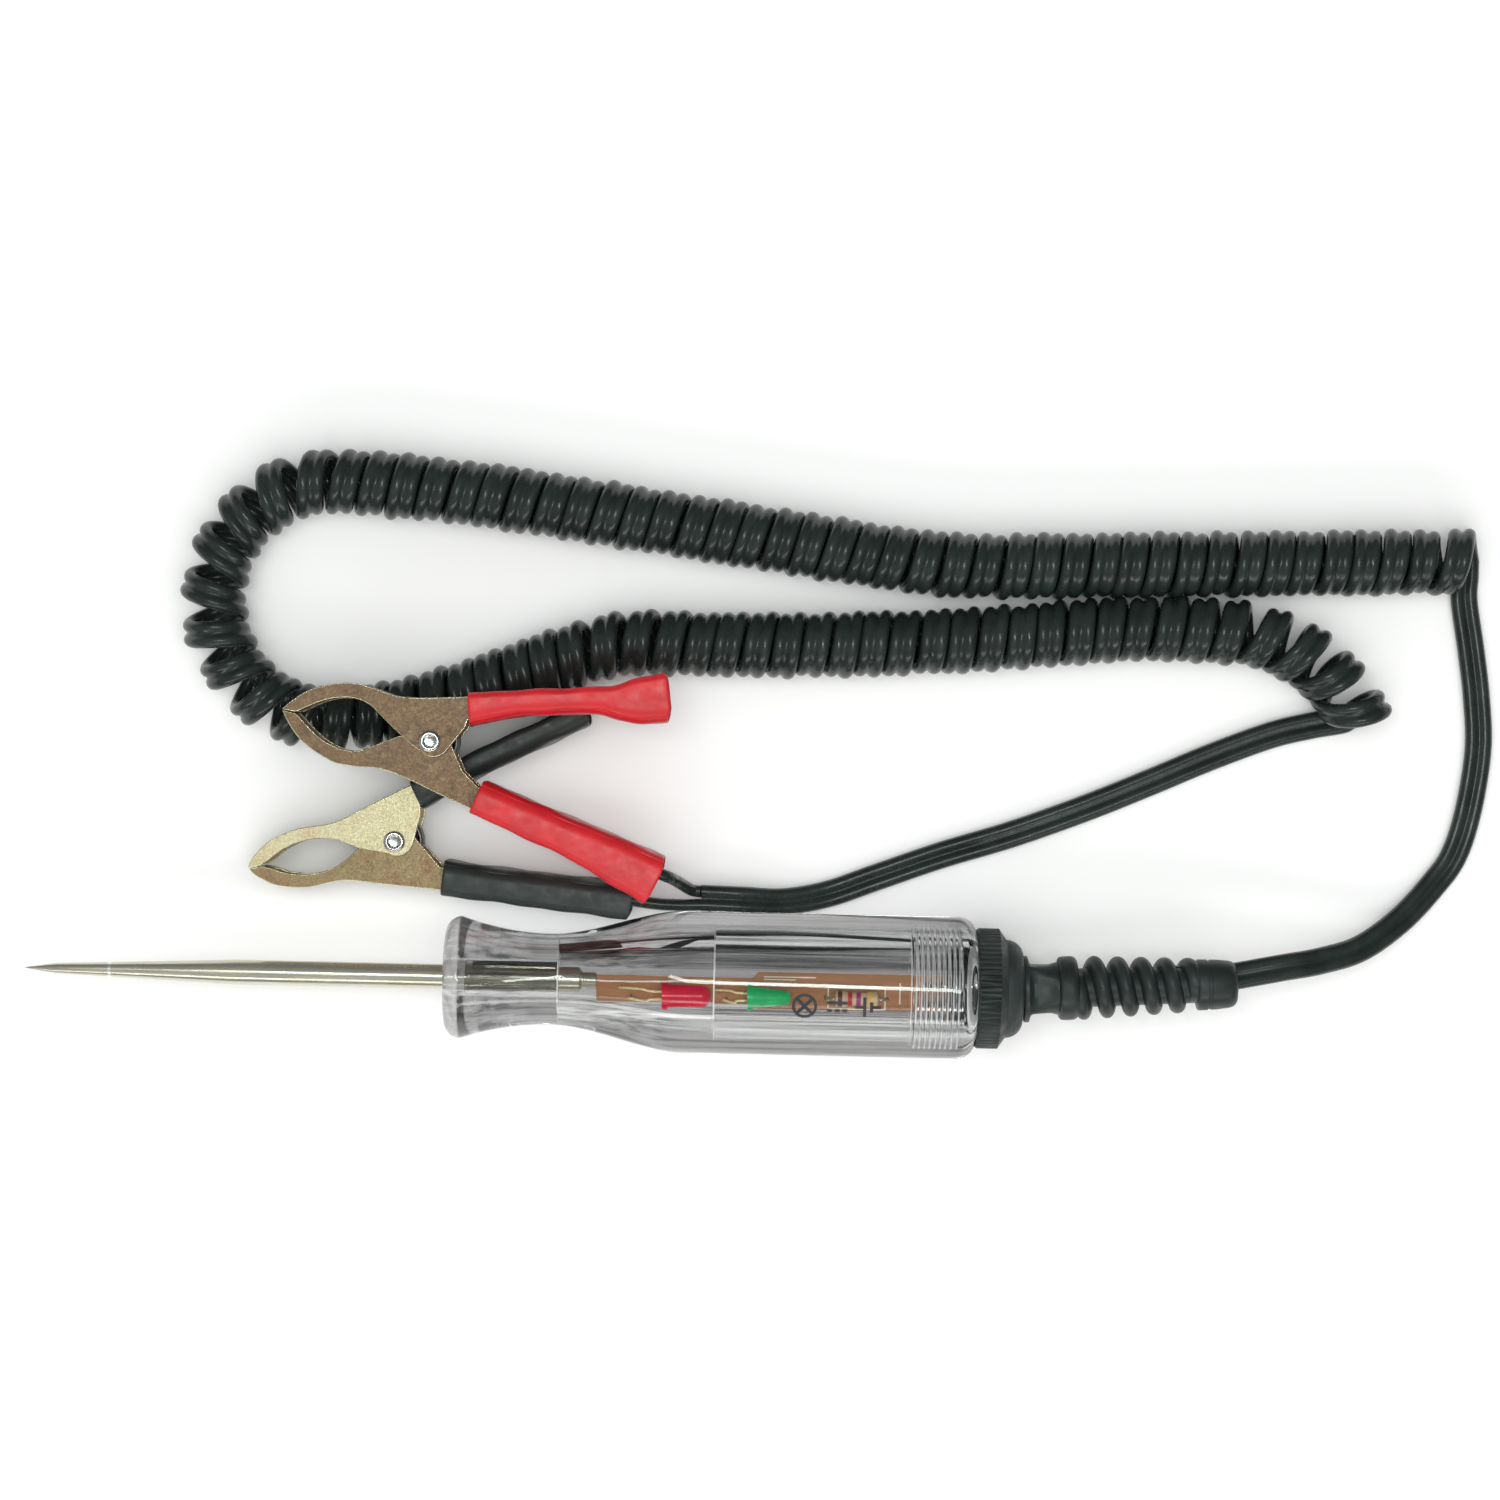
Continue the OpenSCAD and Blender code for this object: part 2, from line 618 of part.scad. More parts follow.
// Middle of the solder on the back's inner face, and the wire's end beside it
function grip_low(line, d) = let (
    p = grip_point(line, d, clip_t + 0.08 + solder_r)
) [p.x, -p.y];

// Open edge of a half: handle, then the ear round the rivet, then the jaw's hollow
function half_front(line, hollow, reach) = concat(
    [
        grip_point(line, grip_len, grip_depths[2]), grip_point(line, narrow_at, grip_depths[2]),
        grip_point(line, reach, grip_depths[1]), grip_point(line, reach * 0.35, grip_depths[0]),
    ],
    [for (a = [-25:-15:-130]) ear_at + ear_r * [cos(a), sin(a)]],
    smooth(hollow, 3),
    [[-25.9, 0.1]]
);

// Point i of the outer face, moved in by the sheet's thickness
function inside(back, i) = let (
    way = heading_at(back, i)
) back[i] + (i == 0 ? [clip_t * 1.3, -1] : clip_t * [way.y, -way.x]);

// One half of a clip: a channel, whose two cheeks stand on a bent back. The cheeks'
// edge runs out to `reach` along the handle before it gets to its narrow part.
module clip_half(w, line, jaw, hollow, reach) {
    back = concat(smooth(concat(jaw, [line[0]]), 3), [grip_point(line, grip_len, 0)]);
    difference() {
        translate([0, 0, -w / 2]) linear_extrude(w)
            polygon(concat(back, half_front(line, hollow, reach)));
        translate([0, 0, clip_t - w / 2]) linear_extrude(w - 2 * clip_t) polygon(concat(
            [for (i = [0:len(back) - 2]) inside(back, i)],
            [grip_point(line, grip_len + 3, clip_t), [grip_len, -grip_len], [-grip_len, -grip_len]]
        ));
        translate([0, 0, -w]) cylinder(r = rivet_r + 0.05, h = 2 * w, $fn = 48);
    }
}

module rivet() {
    cylinder(r = rivet_r, h = clip_w + 0.2, center = true, $fn = 48);
    for (side = [0, 1]) mirror([0, 0, side]) translate([0, 0, clip_w / 2 + eps])
        round_cap(rivet_head_r, 0.6);
}

// Wound round the rivet, each leg pressing on one handle's back
module torsion_spring() {
    wound = 1080 + 2 * (90 - spring_lean);
    steps = 54;
    pitch = 1.5;
    rise = pitch * wound / 360;
    coil = [
        for (i = [0:steps]) let (a = 90 + spring_lean + wound * i / steps)
            [spring_r * cos(a), spring_r * sin(a), rise * (i / steps - 0.5)],
    ];
    first_leg = [cos(spring_lean), sin(spring_lean), 0];
    last_leg = [cos(spring_lean), -sin(spring_lean), 0];
    skin(swept(concat(
        [coil[0] + spring_leg * first_leg, coil[0] + spring_leg / 2 * first_leg],
        coil,
        [coil[steps] + spring_leg / 2 * last_leg, coil[steps] + spring_leg * last_leg]
    ), round_section(spring_wire_r, 8)));
}

// Corners of a box h by w, rounded to radius r
function box_ring(h, w, r) = [
    for (k = [0:3]) for (a = [0:22.5:90]) let (
        side = [[1, -1], [-1, -1], [-1, 1], [1, 1]][k],
        turn = -90 * k - a
    ) [side.x * (h / 2 - r) + r * cos(turn), side.y * (w / 2 - r) + r * sin(turn)],
];

// Outline across a handle at p = [distance, outer edge, inner edge], made smaller by a wall
function sleeve_ring(line, p, wall, w, r) = [
    for (q = box_ring(p[2] - p[1] - 2 * wall, w, r)) let (
        m = grip_point(line, p[0], (p[1] + p[2]) / 2 + q.x)
    ) [m.x, m.y, q.y],
];

// Vinyl sleeve over a handle
module sleeve(line, shape) {
    rings = smooth(shape, 2);
    last = len(rings) - 1;
    skin(concat(
        [for (p = rings) sleeve_ring(line, p, 0, sleeve_w, sleeve_corner_r)],
        [for (i = [last:-1:0]) sleeve_ring(line, rings[i], sleeve_wall, clip_w + 0.14, 0.1)]
    ), looped = true);
}

module red_clip_upper_jaw() color("rosybrown")
    on_red() clip_half(clip_w, red_upper_line, red_back, red_hollow, 1);
module red_clip_lower_jaw() color("rosybrown")
    on_red() mirror([0, 1, 0]) clip_half(inner_w, red_lower_line, red_back, red_hollow, 5.5);
module red_clip_rivet() color("silver") on_red() rivet();
module red_clip_spring() color("dimgray") on_red() torsion_spring();
module red_clip_upper_sleeve() color("red") on_red() sleeve(red_upper_line, red_upper_shape);
module red_clip_lower_sleeve() color("red")
    on_red() mirror([0, 1, 0]) sleeve(red_lower_line, red_lower_shape);

module black_clip_upper_jaw() color("darkkhaki")
    on_black() clip_half(clip_w, black_upper_line, black_back, black_hollow, 1);
module black_clip_lower_jaw() color("darkkhaki")
    on_black() mirror([0, 1, 0]) clip_half(inner_w, black_lower_line, black_back, black_hollow, 2.5);
module black_clip_rivet() color("silver") on_black() rivet();
module black_clip_spring() color("dimgray") on_black() torsion_spring();
module black_clip_upper_sleeve() color([0.18, 0.2, 0.19])
    on_black() sleeve(black_upper_line, black_upper_shape);
module black_clip_lower_sleeve() color([0.18, 0.2, 0.19])
    on_black() mirror([0, 1, 0]) sleeve(black_lower_line, black_lower_shape);

// Solder that joins each wire's end to the inside of its lower handle
module clip_solder_joints() color("lightgray") {
    on_red() wire_end_solder(red_lower_line);
    on_black() wire_end_solder(black_lower_line);
}

module wire_end_solder(line) translate(grip_low(line, solder_at)) sphere(r = solder_r, $fn = 32);

handle();
probe();
circuit_board();
red_led();
green_led();
led_leads();
resistor();
resistor_leads();
solder_joints();
board_wires();
end_cap();
strain_relief();
handle_lead();
coil_cord();
clip_lead();
red_clip_wire();
black_clip_wire();
clip_solder_joints();
red_clip_upper_jaw();
red_clip_lower_jaw();
red_clip_rivet();
red_clip_spring();
red_clip_upper_sleeve();
red_clip_lower_sleeve();
black_clip_upper_jaw();
black_clip_lower_jaw();
black_clip_rivet();
black_clip_spring();
black_clip_upper_sleeve();
black_clip_lower_sleeve();
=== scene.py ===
"""Looks of the circuit test light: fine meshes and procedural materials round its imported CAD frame.

Lengths in this script are millimetres in the row frame, turned into metres when a mesh is made.
"""

import math

import bmesh
import bpy
import numpy as np
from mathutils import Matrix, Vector


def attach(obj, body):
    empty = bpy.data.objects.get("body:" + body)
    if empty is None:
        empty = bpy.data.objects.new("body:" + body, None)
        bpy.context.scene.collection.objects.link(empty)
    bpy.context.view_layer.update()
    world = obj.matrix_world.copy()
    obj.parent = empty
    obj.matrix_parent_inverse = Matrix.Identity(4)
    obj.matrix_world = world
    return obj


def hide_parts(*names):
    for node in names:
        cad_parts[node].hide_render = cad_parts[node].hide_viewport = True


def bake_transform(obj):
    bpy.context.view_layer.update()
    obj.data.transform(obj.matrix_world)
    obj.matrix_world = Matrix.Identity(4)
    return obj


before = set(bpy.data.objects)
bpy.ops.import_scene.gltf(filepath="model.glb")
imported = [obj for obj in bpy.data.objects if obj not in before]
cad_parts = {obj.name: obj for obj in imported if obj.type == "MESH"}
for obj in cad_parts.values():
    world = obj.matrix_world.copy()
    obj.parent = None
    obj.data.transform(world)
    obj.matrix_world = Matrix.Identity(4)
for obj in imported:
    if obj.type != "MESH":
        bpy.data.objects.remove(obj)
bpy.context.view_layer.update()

MM = 0.001
TESTER = "tester"
RELIEF = "strain_relief"

# ---------- mesh building ----------


def unit(v):
    v = np.asarray(v, float)
    return v / np.linalg.norm(v, axis=-1, keepdims=True)


def ease(t):
    t = np.clip(t, 0, 1)
    return t * t * (3 - 2 * t)


def smooth_path(knots, steps):
    """Catmull-Rom curve through all knots, with `steps` points from each knot to the next."""
    k = np.asarray(knots, float)
    last = len(k) - 1
    out = []
    for i in range(last):
        a, b, c, d = k[max(i - 1, 0)], k[i], k[i + 1], k[min(i + 2, last)]
        for t in np.arange(steps) / steps:
            out.append(
                0.5 * (2 * b + (c - a) * t + (2 * a - 5 * b + 4 * c - d) * t * t + (3 * b - a - 3 * c + d) * t**3)
            )
    out.append(k[last])
    return np.array(out)


def even_path(path, step):
    """The same curve with points at equal distances."""
    path = np.asarray(path, float)
    s = np.concatenate([[0], np.cumsum(np.linalg.norm(np.diff(path, axis=0), axis=1))])
    at = np.linspace(0, s[-1], max(int(s[-1] / step), 2) + 1)
    return np.stack([np.interp(at, s, path[:, i]) for i in range(path.shape[1])], axis=1)


def loft(rings, looped=False):
    """Quads over rows of points. Open lofts get a cap at each end; looped ones join end to start."""
    rings = np.asarray(rings, float)
    n, m = rings.shape[:2]
    faces = []
    for i in range(n if looped else n - 1):
        a, b = i * m, ((i + 1) % n) * m
        faces += [(a + j, a + (j + 1) % m, b + (j + 1) % m, b + j) for j in range(m)]
    if not looped:
        faces.append(tuple(range(m))[::-1])
        faces.append(tuple((n - 1) * m + j for j in range(m)))
    return rings.reshape(-1, 3), faces


def sweep(path, section):
    """Solid of a flat section (or one section per point) along a path, kept level across."""
    path = np.asarray(path, float)
    along = np.empty_like(path)
    along[1:-1] = path[2:] - path[:-2]
    along[0], along[-1] = path[1] - path[0], path[-1] - path[-2]
    along = unit(along)
    side = unit(np.cross([0, 0, 1], along))
    up = np.cross(along, side)
    section = np.asarray(section, float)
    if section.ndim == 2:
        section = np.broadcast_to(section, (len(path),) + section.shape)
    return loft(path[:, None] + section[..., :1] * side[:, None] + section[..., 1:] * up[:, None])


def lathe(profile, sides=96, radius=None, looped=False):
    """Solid turned about X from (x, r) points. `radius` changes r by x and angle."""
    p = np.asarray(profile, float)
    a = np.arange(sides) * 2 * math.pi / sides
    x = np.repeat(p[:, :1], sides, axis=1)
    r = np.repeat(np.maximum(p[:, 1:], 1e-3), sides, axis=1)
    if radius is not None:
        r = radius(x, np.broadcast_to(a, r.shape), r)
    return loft(np.stack([x, r * np.cos(a), r * np.sin(a)], axis=-1), looped)


def upright(mesh):
    """Turns a solid made about X so that it stands on Z."""
    v, f = mesh
    return v[:, [1, 2, 0]], f


def circle(r, sides):
    a = np.arange(sides) * 2 * math.pi / sides
    return np.stack([r * np.cos(a), r * np.sin(a)], axis=1)


def prism(outline, z0, z1):
    outline = np.asarray(outline, float)
    low = np.column_stack([outline, np.full(len(outline), z0)])
    high = np.column_stack([outline, np.full(len(outline), z1)])
    return loft([low, high])


def stroke(points, width):
    """Outline of a line of even width through flat points."""
    p = np.asarray(points, float)
    d = unit(np.gradient(p, axis=0))
    n = np.stack([-d[:, 1], d[:, 0]], axis=1) * width / 2
    return np.vstack([p + n, (p - n)[::-1]])


def put(mesh, at=(0, 0, 0), turn=0.0, flip=False):
    """Mesh mirrored across y if asked, turned about Z by degrees, then moved."""
    v, f = mesh
    v = np.array(v, float)
    if flip:
        v[:, 1] *= -1
    c, s = math.cos(math.radians(turn)), math.sin(math.radians(turn))
    x, y = v[:, 0] * c - v[:, 1] * s, v[:, 0] * s + v[:, 1] * c
    return np.column_stack([x, y, v[:, 2]]) + np.asarray(at, float), f


def piece(name, meshes, material, body=None, replaces=(), sharp=35):
    """One shown object from closed meshes. Its normals are made to face out."""
    verts, faces, base = [], [], 0
    for v, f in meshes:
        verts.append(np.asarray(v))
        faces += [tuple(base + i for i in face) for face in f]
        base += len(v)
    data = bpy.data.meshes.new(name)
    data.from_pydata((np.vstack(verts) * MM).tolist(), [], faces)
    bm = bmesh.new()
    bm.from_mesh(data)
    bmesh.ops.recalc_face_normals(bm, faces=bm.faces[:])
    bm.to_mesh(data)
    bm.free()
    data.shade_smooth()
    data.set_sharp_from_angle(angle=math.radians(sharp))
    data.materials.append(material)
    obj = bpy.data.objects.new(name, data)
    bpy.context.scene.collection.objects.link(obj)
    if replaces:
        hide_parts(*replaces)
    if body:
        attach(obj, body)
    return obj


# ---------- materials ----------


class Look:
    """A Principled material, and the few nodes these looks are made of."""

    def __init__(self, name, color, rough, metal=0.0, **inputs):
        self.material = bpy.data.materials.new(name)
        self.material.use_nodes = True
        self.tree = self.material.node_tree
        self.shader = self.tree.nodes["Principled BSDF"]
        self.put("Base Color", (*color, 1))
        self.put("Roughness", rough)
        self.put("Metallic", metal)
        for key, value in inputs.items():
            self.put(key.replace("_", " "), value)

    def put(self, name, value):
        self.shader.inputs[name].default_value = value

    def node(self, kind, **inputs):
        n = self.tree.nodes.new(kind)
        for key, value in inputs.items():
            n.inputs[key].default_value = value
        return n

    def link(self, out, into):
        self.tree.links.new(out, into)

    def place(self):
        return self.tree.nodes.new("ShaderNodeTexCoord").outputs["Object"]

    def xyz(self):
        """The place on the object as its three outputs X, Y and Z, in metres."""
        split = self.tree.nodes.new("ShaderNodeSeparateXYZ")
        self.link(self.place(), split.inputs[0])
        return split.outputs

    def noise(self, size, detail=3.0, stretch=(1, 1, 1)):
        """Noise whose features are about `size` millimetres, longer along a stretched axis."""
        mapping = self.node("ShaderNodeMapping")
        mapping.inputs["Scale"].default_value = [1 / s for s in stretch]
        self.link(self.place(), mapping.inputs["Vector"])
        n = self.node("ShaderNodeTexNoise", Scale=1000 / size, Detail=detail, Roughness=0.55)
        self.link(mapping.outputs["Vector"], n.inputs["Vector"])
        return n.outputs["Fac"]

    def ramp(self, value, stops):
        """Colours or greys by value: [(position, colour or grey), ...]."""
        r = self.node("ShaderNodeValToRGB")
        while len(r.color_ramp.elements) < len(stops):
            r.color_ramp.elements.new(0.5)
        for e, (position, c) in zip(r.color_ramp.elements, stops):
            e.position = position
            e.color = (*c, 1) if hasattr(c, "__len__") else (c, c, c, 1)
        self.link(value, r.inputs["Fac"])
        return r.outputs["Color"]

    def mix(self, factor, a, b):
        m = self.tree.nodes.new("ShaderNodeMix")
        m.data_type = "RGBA"
        for socket, v in ((m.inputs[0], factor), (m.inputs[6], a), (m.inputs[7], b)):
            if hasattr(v, "is_output"):
                self.link(v, socket)
            else:
                socket.default_value = (*v, 1) if hasattr(v, "__len__") else v
        return m.outputs[2]

    def math(self, operation, a, b=0.0):
        m = self.tree.nodes.new("ShaderNodeMath")
        m.operation = operation
        for socket, v in ((m.inputs[0], a), (m.inputs[1], b)):
            if hasattr(v, "is_output"):
                self.link(v, socket)
            else:
                socket.default_value = v
        return m.outputs[0]

    def color(self, value):
        self.link(value, self.shader.inputs["Base Color"])

    def rough(self, value):
        self.link(value, self.shader.inputs["Roughness"])

    def bump(self, height, depth, strength=1.0):
        """Relief of `depth` millimetres from a height between 0 and 1."""
        b = self.node("ShaderNodeBump", Strength=strength, Distance=depth * MM)
        self.link(height, b.inputs["Height"])
        last = self.shader.inputs["Normal"]
        if last.is_linked:
            self.link(last.links[0].from_socket, b.inputs["Normal"])
        self.link(b.outputs["Normal"], last)


def plastic(name, color, rough, grain=0.35, depth=0.012, tone=0.25, **inputs):
    """Moulded plastic: slight cloudiness of tone, uneven gloss and a fine grain."""
    look = Look(name, color, rough, **inputs)
    dark, light = [c * (1 - tone) for c in color], [c * (1 + tone) for c in color]
    look.color(look.ramp(look.noise(6, 4), [(0.3, dark), (0.7, light)]))
    look.rough(look.ramp(look.noise(2.2, 3), [(0.3, rough * 0.8), (0.75, min(rough * 1.35, 1))]))
    look.bump(look.noise(grain, 2), depth)
    return look


def cord_look(name):
    return plastic(name, (0.016, 0.0225, 0.0205), 0.25, grain=0.5, depth=0.003, tone=0.3)


# Places along the handle: the bore's front end, its step, and where the painted highlight rings on thread crests
# start
BORE_X, STEP_X, CRESTS_X = 21.5, 51.0, 88.0
# Half the length of a painted highlight ring at an edge, and the radius within which edges and crests get painted
# highlight rings
EDGE_HALF, RING_HIGHLIGHT_R = 0.14, 8.0
# Length of the front part, and how strongly its face gets a painted highlight
FRONT_END, FRONT_HIGHLIGHT = 3.0, 0.32
# The board's middle lies this far to the -Y side of the axis.
BOARD_Y = 1.4
WINDOW_HALF, WINDOW_CLEARNESS = 4.6, 0.8


def clear_look():
    """Clear styrene with painted reflection streaks and painted highlight rings in its colour. Shadow and diffuse
    rays pass straight through, so that light reaches the inside.
    """
    look = Look("clear_styrene", (0.6, 0.6, 0.61), 0.0, IOR=1.49)
    look.put("Transmission Weight", 1.0)
    look.rough(look.ramp(look.noise(9, 3), [(0.45, 0.0), (0.8, 0.035)]))
    look.bump(look.noise(7, 2, (6, 1, 1)), 0.02)
    place = look.xyz()
    x = look.math("MULTIPLY", place["X"], 1 / MM)
    # Painted reflection: dark and pale streaks along the handle in its tint, as its polished bore and sides show
    # them, but few before the board
    painted_reflection_streaks = look.ramp(look.noise(1.1, 3, (45, 1, 1)), [
        (0.36, (0.15, 0.155, 0.155)),
        (0.46, (0.44, 0.445, 0.445)),
        (0.56, (0.58, 0.585, 0.585)),
        (0.7, (0.82, 0.82, 0.82)),
    ])
    aside = look.math("ABSOLUTE", look.math("ADD", place["Y"], BOARD_Y * MM))
    beside_board = look.math("LESS_THAN", aside, WINDOW_HALF * MM)
    window = look.math("MULTIPLY", beside_board, look.math("GREATER_THAN", x, BORE_X))
    look.color(look.mix(look.math("MULTIPLY", window, WINDOW_CLEARNESS), painted_reflection_streaks, (0.8, 0.8, 0.8)))
    # Painted highlights: sharp inner edges, thread crests and the front face are partly mixed with white matt, and
    # show as pale rings.
    y2, z2 = (look.math("POWER", place[axis], 2.0) for axis in "YZ")
    radius = look.math("SQRT", look.math("ADD", y2, z2))
    off_edges = [look.math("ABSOLUTE", look.math("SUBTRACT", x, edge)) for edge in (BORE_X, STEP_X)]
    edges = look.math("LESS_THAN", look.math("MINIMUM", *off_edges), EDGE_HALF)
    crest = look.math("GREATER_THAN", look.math("COSINE", look.math("MULTIPLY", x, 2 * math.pi)), 0.55)
    crest = look.math("MULTIPLY", crest, look.math("GREATER_THAN", x, CRESTS_X))
    inside = look.math("LESS_THAN", radius, RING_HIGHLIGHT_R * MM)
    ring_highlight = look.math("MULTIPLY", look.math("MAXIMUM", edges, crest), inside)
    front = look.math("MULTIPLY", look.math("LESS_THAN", x, FRONT_END), FRONT_HIGHLIGHT)
    ring_highlight = look.math("MAXIMUM", ring_highlight, front)
    white = look.node("ShaderNodeBsdfDiffuse", Color=(0.93, 0.93, 0.93, 1))
    with_ring_highlight = look.tree.nodes.new("ShaderNodeMixShader")
    look.link(look.math("MULTIPLY", ring_highlight, 0.7), with_ring_highlight.inputs[0])
    look.link(look.shader.outputs[0], with_ring_highlight.inputs[1])
    look.link(white.outputs[0], with_ring_highlight.inputs[2])
    path = look.tree.nodes.new("ShaderNodeLightPath")
    either = look.math("MAXIMUM", path.outputs["Is Shadow Ray"], path.outputs["Is Diffuse Ray"])
    through = look.node("ShaderNodeBsdfTransparent", Color=(0.93, 0.93, 0.94, 1))
    mix = look.tree.nodes.new("ShaderNodeMixShader")
    look.link(look.math("MULTIPLY", either, 0.92), mix.inputs[0])
    look.link(with_ring_highlight.outputs[0], mix.inputs[1])
    look.link(through.outputs[0], mix.inputs[2])
    out = look.tree.nodes["Material Output"]
    look.link(mix.outputs[0], out.inputs["Surface"])
    return look


def metal(name, color, rough, grain=0.3, depth=0.004, tone=0.15, stretch=(1, 1, 1)):
    look = Look(name, color, rough, 1.0)
    dark, light = [c * (1 - tone) for c in color], [min(c * (1 + tone), 1) for c in color]
    look.color(look.ramp(look.noise(2.5, 4, stretch), [(0.3, dark), (0.7, light)]))
    look.rough(look.ramp(look.noise(0.9, 3, stretch), [(0.3, rough * 0.75), (0.75, rough * 1.3)]))
    look.bump(look.noise(grain, 3, stretch), depth)
    return look


def plated(name, stops, rough):
    """Thin plating on sheet steel: clouds of tint with a fine salt-like grain over them."""
    look = Look(name, stops[0][1], rough, 0.6)
    clouds = look.ramp(look.noise(5.5, 5), stops)
    grain = look.ramp(look.noise(0.28, 2), [(0.35, 0.72), (0.68, 1.18)])
    m = look.tree.nodes.new("ShaderNodeMix")
    m.data_type, m.blend_type = "RGBA", "MULTIPLY"
    m.inputs[0].default_value = 1.0
    look.link(clouds, m.inputs[6])
    look.link(grain, m.inputs[7])
    look.color(m.outputs[2])
    look.rough(look.ramp(look.noise(0.6, 3), [(0.3, rough * 0.8), (0.75, rough * 1.35)]))
    look.bump(look.noise(0.25, 2), 0.012)
    return look


def vinyl(name, color, rough=0.38):
    """Dipped vinyl: soft gloss with faint pulls along its length."""
    look = plastic(name, color, rough, grain=0.9, depth=0.03, tone=0.12)
    look.put("Subsurface Weight", 0.05)
    look.put("Subsurface Radius", (0.002, 0.0008, 0.0006))
    look.bump(look.noise(4, 2, (5, 1, 1)), 0.12, 0.6)
    return look


CLEAR = clear_look()
# Middle of the fine collar behind the needle's point, and half the length of the painted highlight on it
NEEDLE_COLLAR_X, NEEDLE_GLINT_HALF = -63.85, 0.26


def steel_look():
    """Nickel plate, drawn along X, with a painted highlight on one fine collar near the needle's point."""
    drawn = (14, 1, 1)
    # The plate's own tint takes the place of the plain metal's below.
    look = metal("nickel_plate", (0.66, 0.64, 0.53), 0.25, grain=0.25, depth=0.0003, tone=0.05, stretch=drawn)
    look.put("Metallic", 0.8)
    off = look.math("ABSOLUTE", look.math("ADD", look.xyz()["X"], -NEEDLE_COLLAR_X * MM))
    plate = look.ramp(look.noise(1.6, 3, drawn), [(0.3, (0.6, 0.58, 0.47)), (0.7, (0.7, 0.68, 0.57))])
    # Painted highlight: the collar is coloured near white.
    look.color(look.mix(look.math("LESS_THAN", off, NEEDLE_GLINT_HALF * MM), plate, (1.0, 1.0, 0.97)))
    return look


STEEL = steel_look()
CORD = cord_look("cord_jacket")
WIRE = cord_look("wire_jacket")
CAP = plastic("cap_plastic", (0.02, 0.027, 0.026), 0.5, grain=0.3, depth=0.02)
RELIEF_LOOK = plastic("relief_vinyl", (0.015, 0.0215, 0.0205), 0.42, grain=0.3, depth=0.018)
RED = vinyl("red_vinyl", (0.52, 0.009, 0.015))
BLACK = vinyl("black_vinyl", (0.016, 0.023, 0.021), 0.42)
RIVET = metal("rivet_steel", (0.72, 0.72, 0.7), 0.22)
SPRING = metal("spring_steel", (0.2, 0.2, 0.2), 0.35)
SOLDER = metal("solder", (0.62, 0.62, 0.6), 0.3, grain=0.5, depth=0.02)
GOLD = metal("gold_lead", (0.95, 0.76, 0.4), 0.25)
GOLD.put("Metallic", 0.4)
TIN = metal("tinned_lead", (0.72, 0.71, 0.66), 0.22)
COPPERY = plated(
    "red_clip_plate",
    [
        (0.25, (0.155, 0.1, 0.06)), (0.45, (0.25, 0.165, 0.095)),
        (0.6, (0.2, 0.13, 0.085)), (0.8, (0.36, 0.26, 0.13)),
    ],
    0.5,
)
GILT = plated(
    "black_clip_plate",
    [(0.25, (0.54, 0.49, 0.29)), (0.5, (0.65, 0.59, 0.38)), (0.75, (0.54, 0.41, 0.24))],
    0.42,
)
# Painted shade: the black clip's lower jaw gets a darker, browner copy of its plating.
SHADED_LOWER_PLATE = plated(
    "black_clip_lower_plate_painted_shade",
    [(0.25, (0.25, 0.18, 0.09)), (0.5, (0.32, 0.24, 0.13)), (0.75, (0.25, 0.14, 0.08))],
    0.45,
)
# Painted highlight: pale metal along the clips' bevelled edges.
RIM_HIGHLIGHT = metal("plate_rim_painted_highlight", (0.8, 0.76, 0.52), 0.28, tone=0.25)
INK = plastic("black_ink", (0.03, 0.03, 0.035), 0.5, grain=0.2, depth=0.004)
SILK = plastic("silkscreen", (0.82, 0.8, 0.66), 0.6, grain=0.2, depth=0.004)


def lamp_look(name, color, glow):
    look = Look(name, color, 0.12, IOR=1.5)
    look.put("Transmission Weight", 0.25)
    look.put("Emission Color", (*glow, 1))
    look.put("Emission Strength", 0.05)
    look.color(look.ramp(look.noise(2.5, 2), [(0.3, [c * 0.75 for c in color]), (0.7, color)]))
    return look


RED_LAMP = lamp_look("red_lamp", (0.95, 0.01, 0.06), (0.9, 0.0, 0.05))
GREEN_LAMP = lamp_look("green_lamp", (0.02, 0.65, 0.2), (0.0, 0.6, 0.15))


def board_look():
    """Brown laminate with faint fibres and pale sawn edges."""
    look = Look("board", (0.3, 0.13, 0.05), 0.42)
    face = look.ramp(look.noise(1.6, 4, (9, 1, 1)), [(0.3, (0.27, 0.1, 0.026)), (0.7, (0.4, 0.17, 0.05))])
    normal = look.tree.nodes.new("ShaderNodeSeparateXYZ")
    look.link(look.tree.nodes.new("ShaderNodeNewGeometry").outputs["Normal"], normal.inputs[0])
    flat = look.math("GREATER_THAN", look.math("ABSOLUTE", normal.outputs["Z"]), 0.5)
    look.color(look.mix(flat, (0.8, 0.66, 0.36), face))
    look.bump(look.noise(0.5, 3, (6, 1, 1)), 0.02)
    return look


def resistor_look(x0):
    """Carbon-film resistor: tan lacquer with four colour bands along X."""
    look = Look("resistor", (0.62, 0.45, 0.24), 0.3)
    x = look.xyz()["X"]
    color = look.ramp(look.noise(1.5, 2), [(0.3, (0.58, 0.4, 0.2)), (0.7, (0.68, 0.52, 0.3))])
    half_band = 0.42
    bands = (
        (1.0, (0.09, 0.03, 0.015)), (2.9, (0.5, 0.015, 0.02)),
        (4.5, (0.35, 0.02, 0.2)), (6.7, (0.75, 0.5, 0.14)),
    )
    for at, tint in bands:
        off = look.math("ABSOLUTE", look.math("SUBTRACT", x, (x0 + at) * MM))
        color = look.mix(look.math("LESS_THAN", off, half_band * MM), color, tint)
    look.color(color)
    look.put("Coat Weight", 0.4)
    return look


WELD_WITHIN = 0.0005


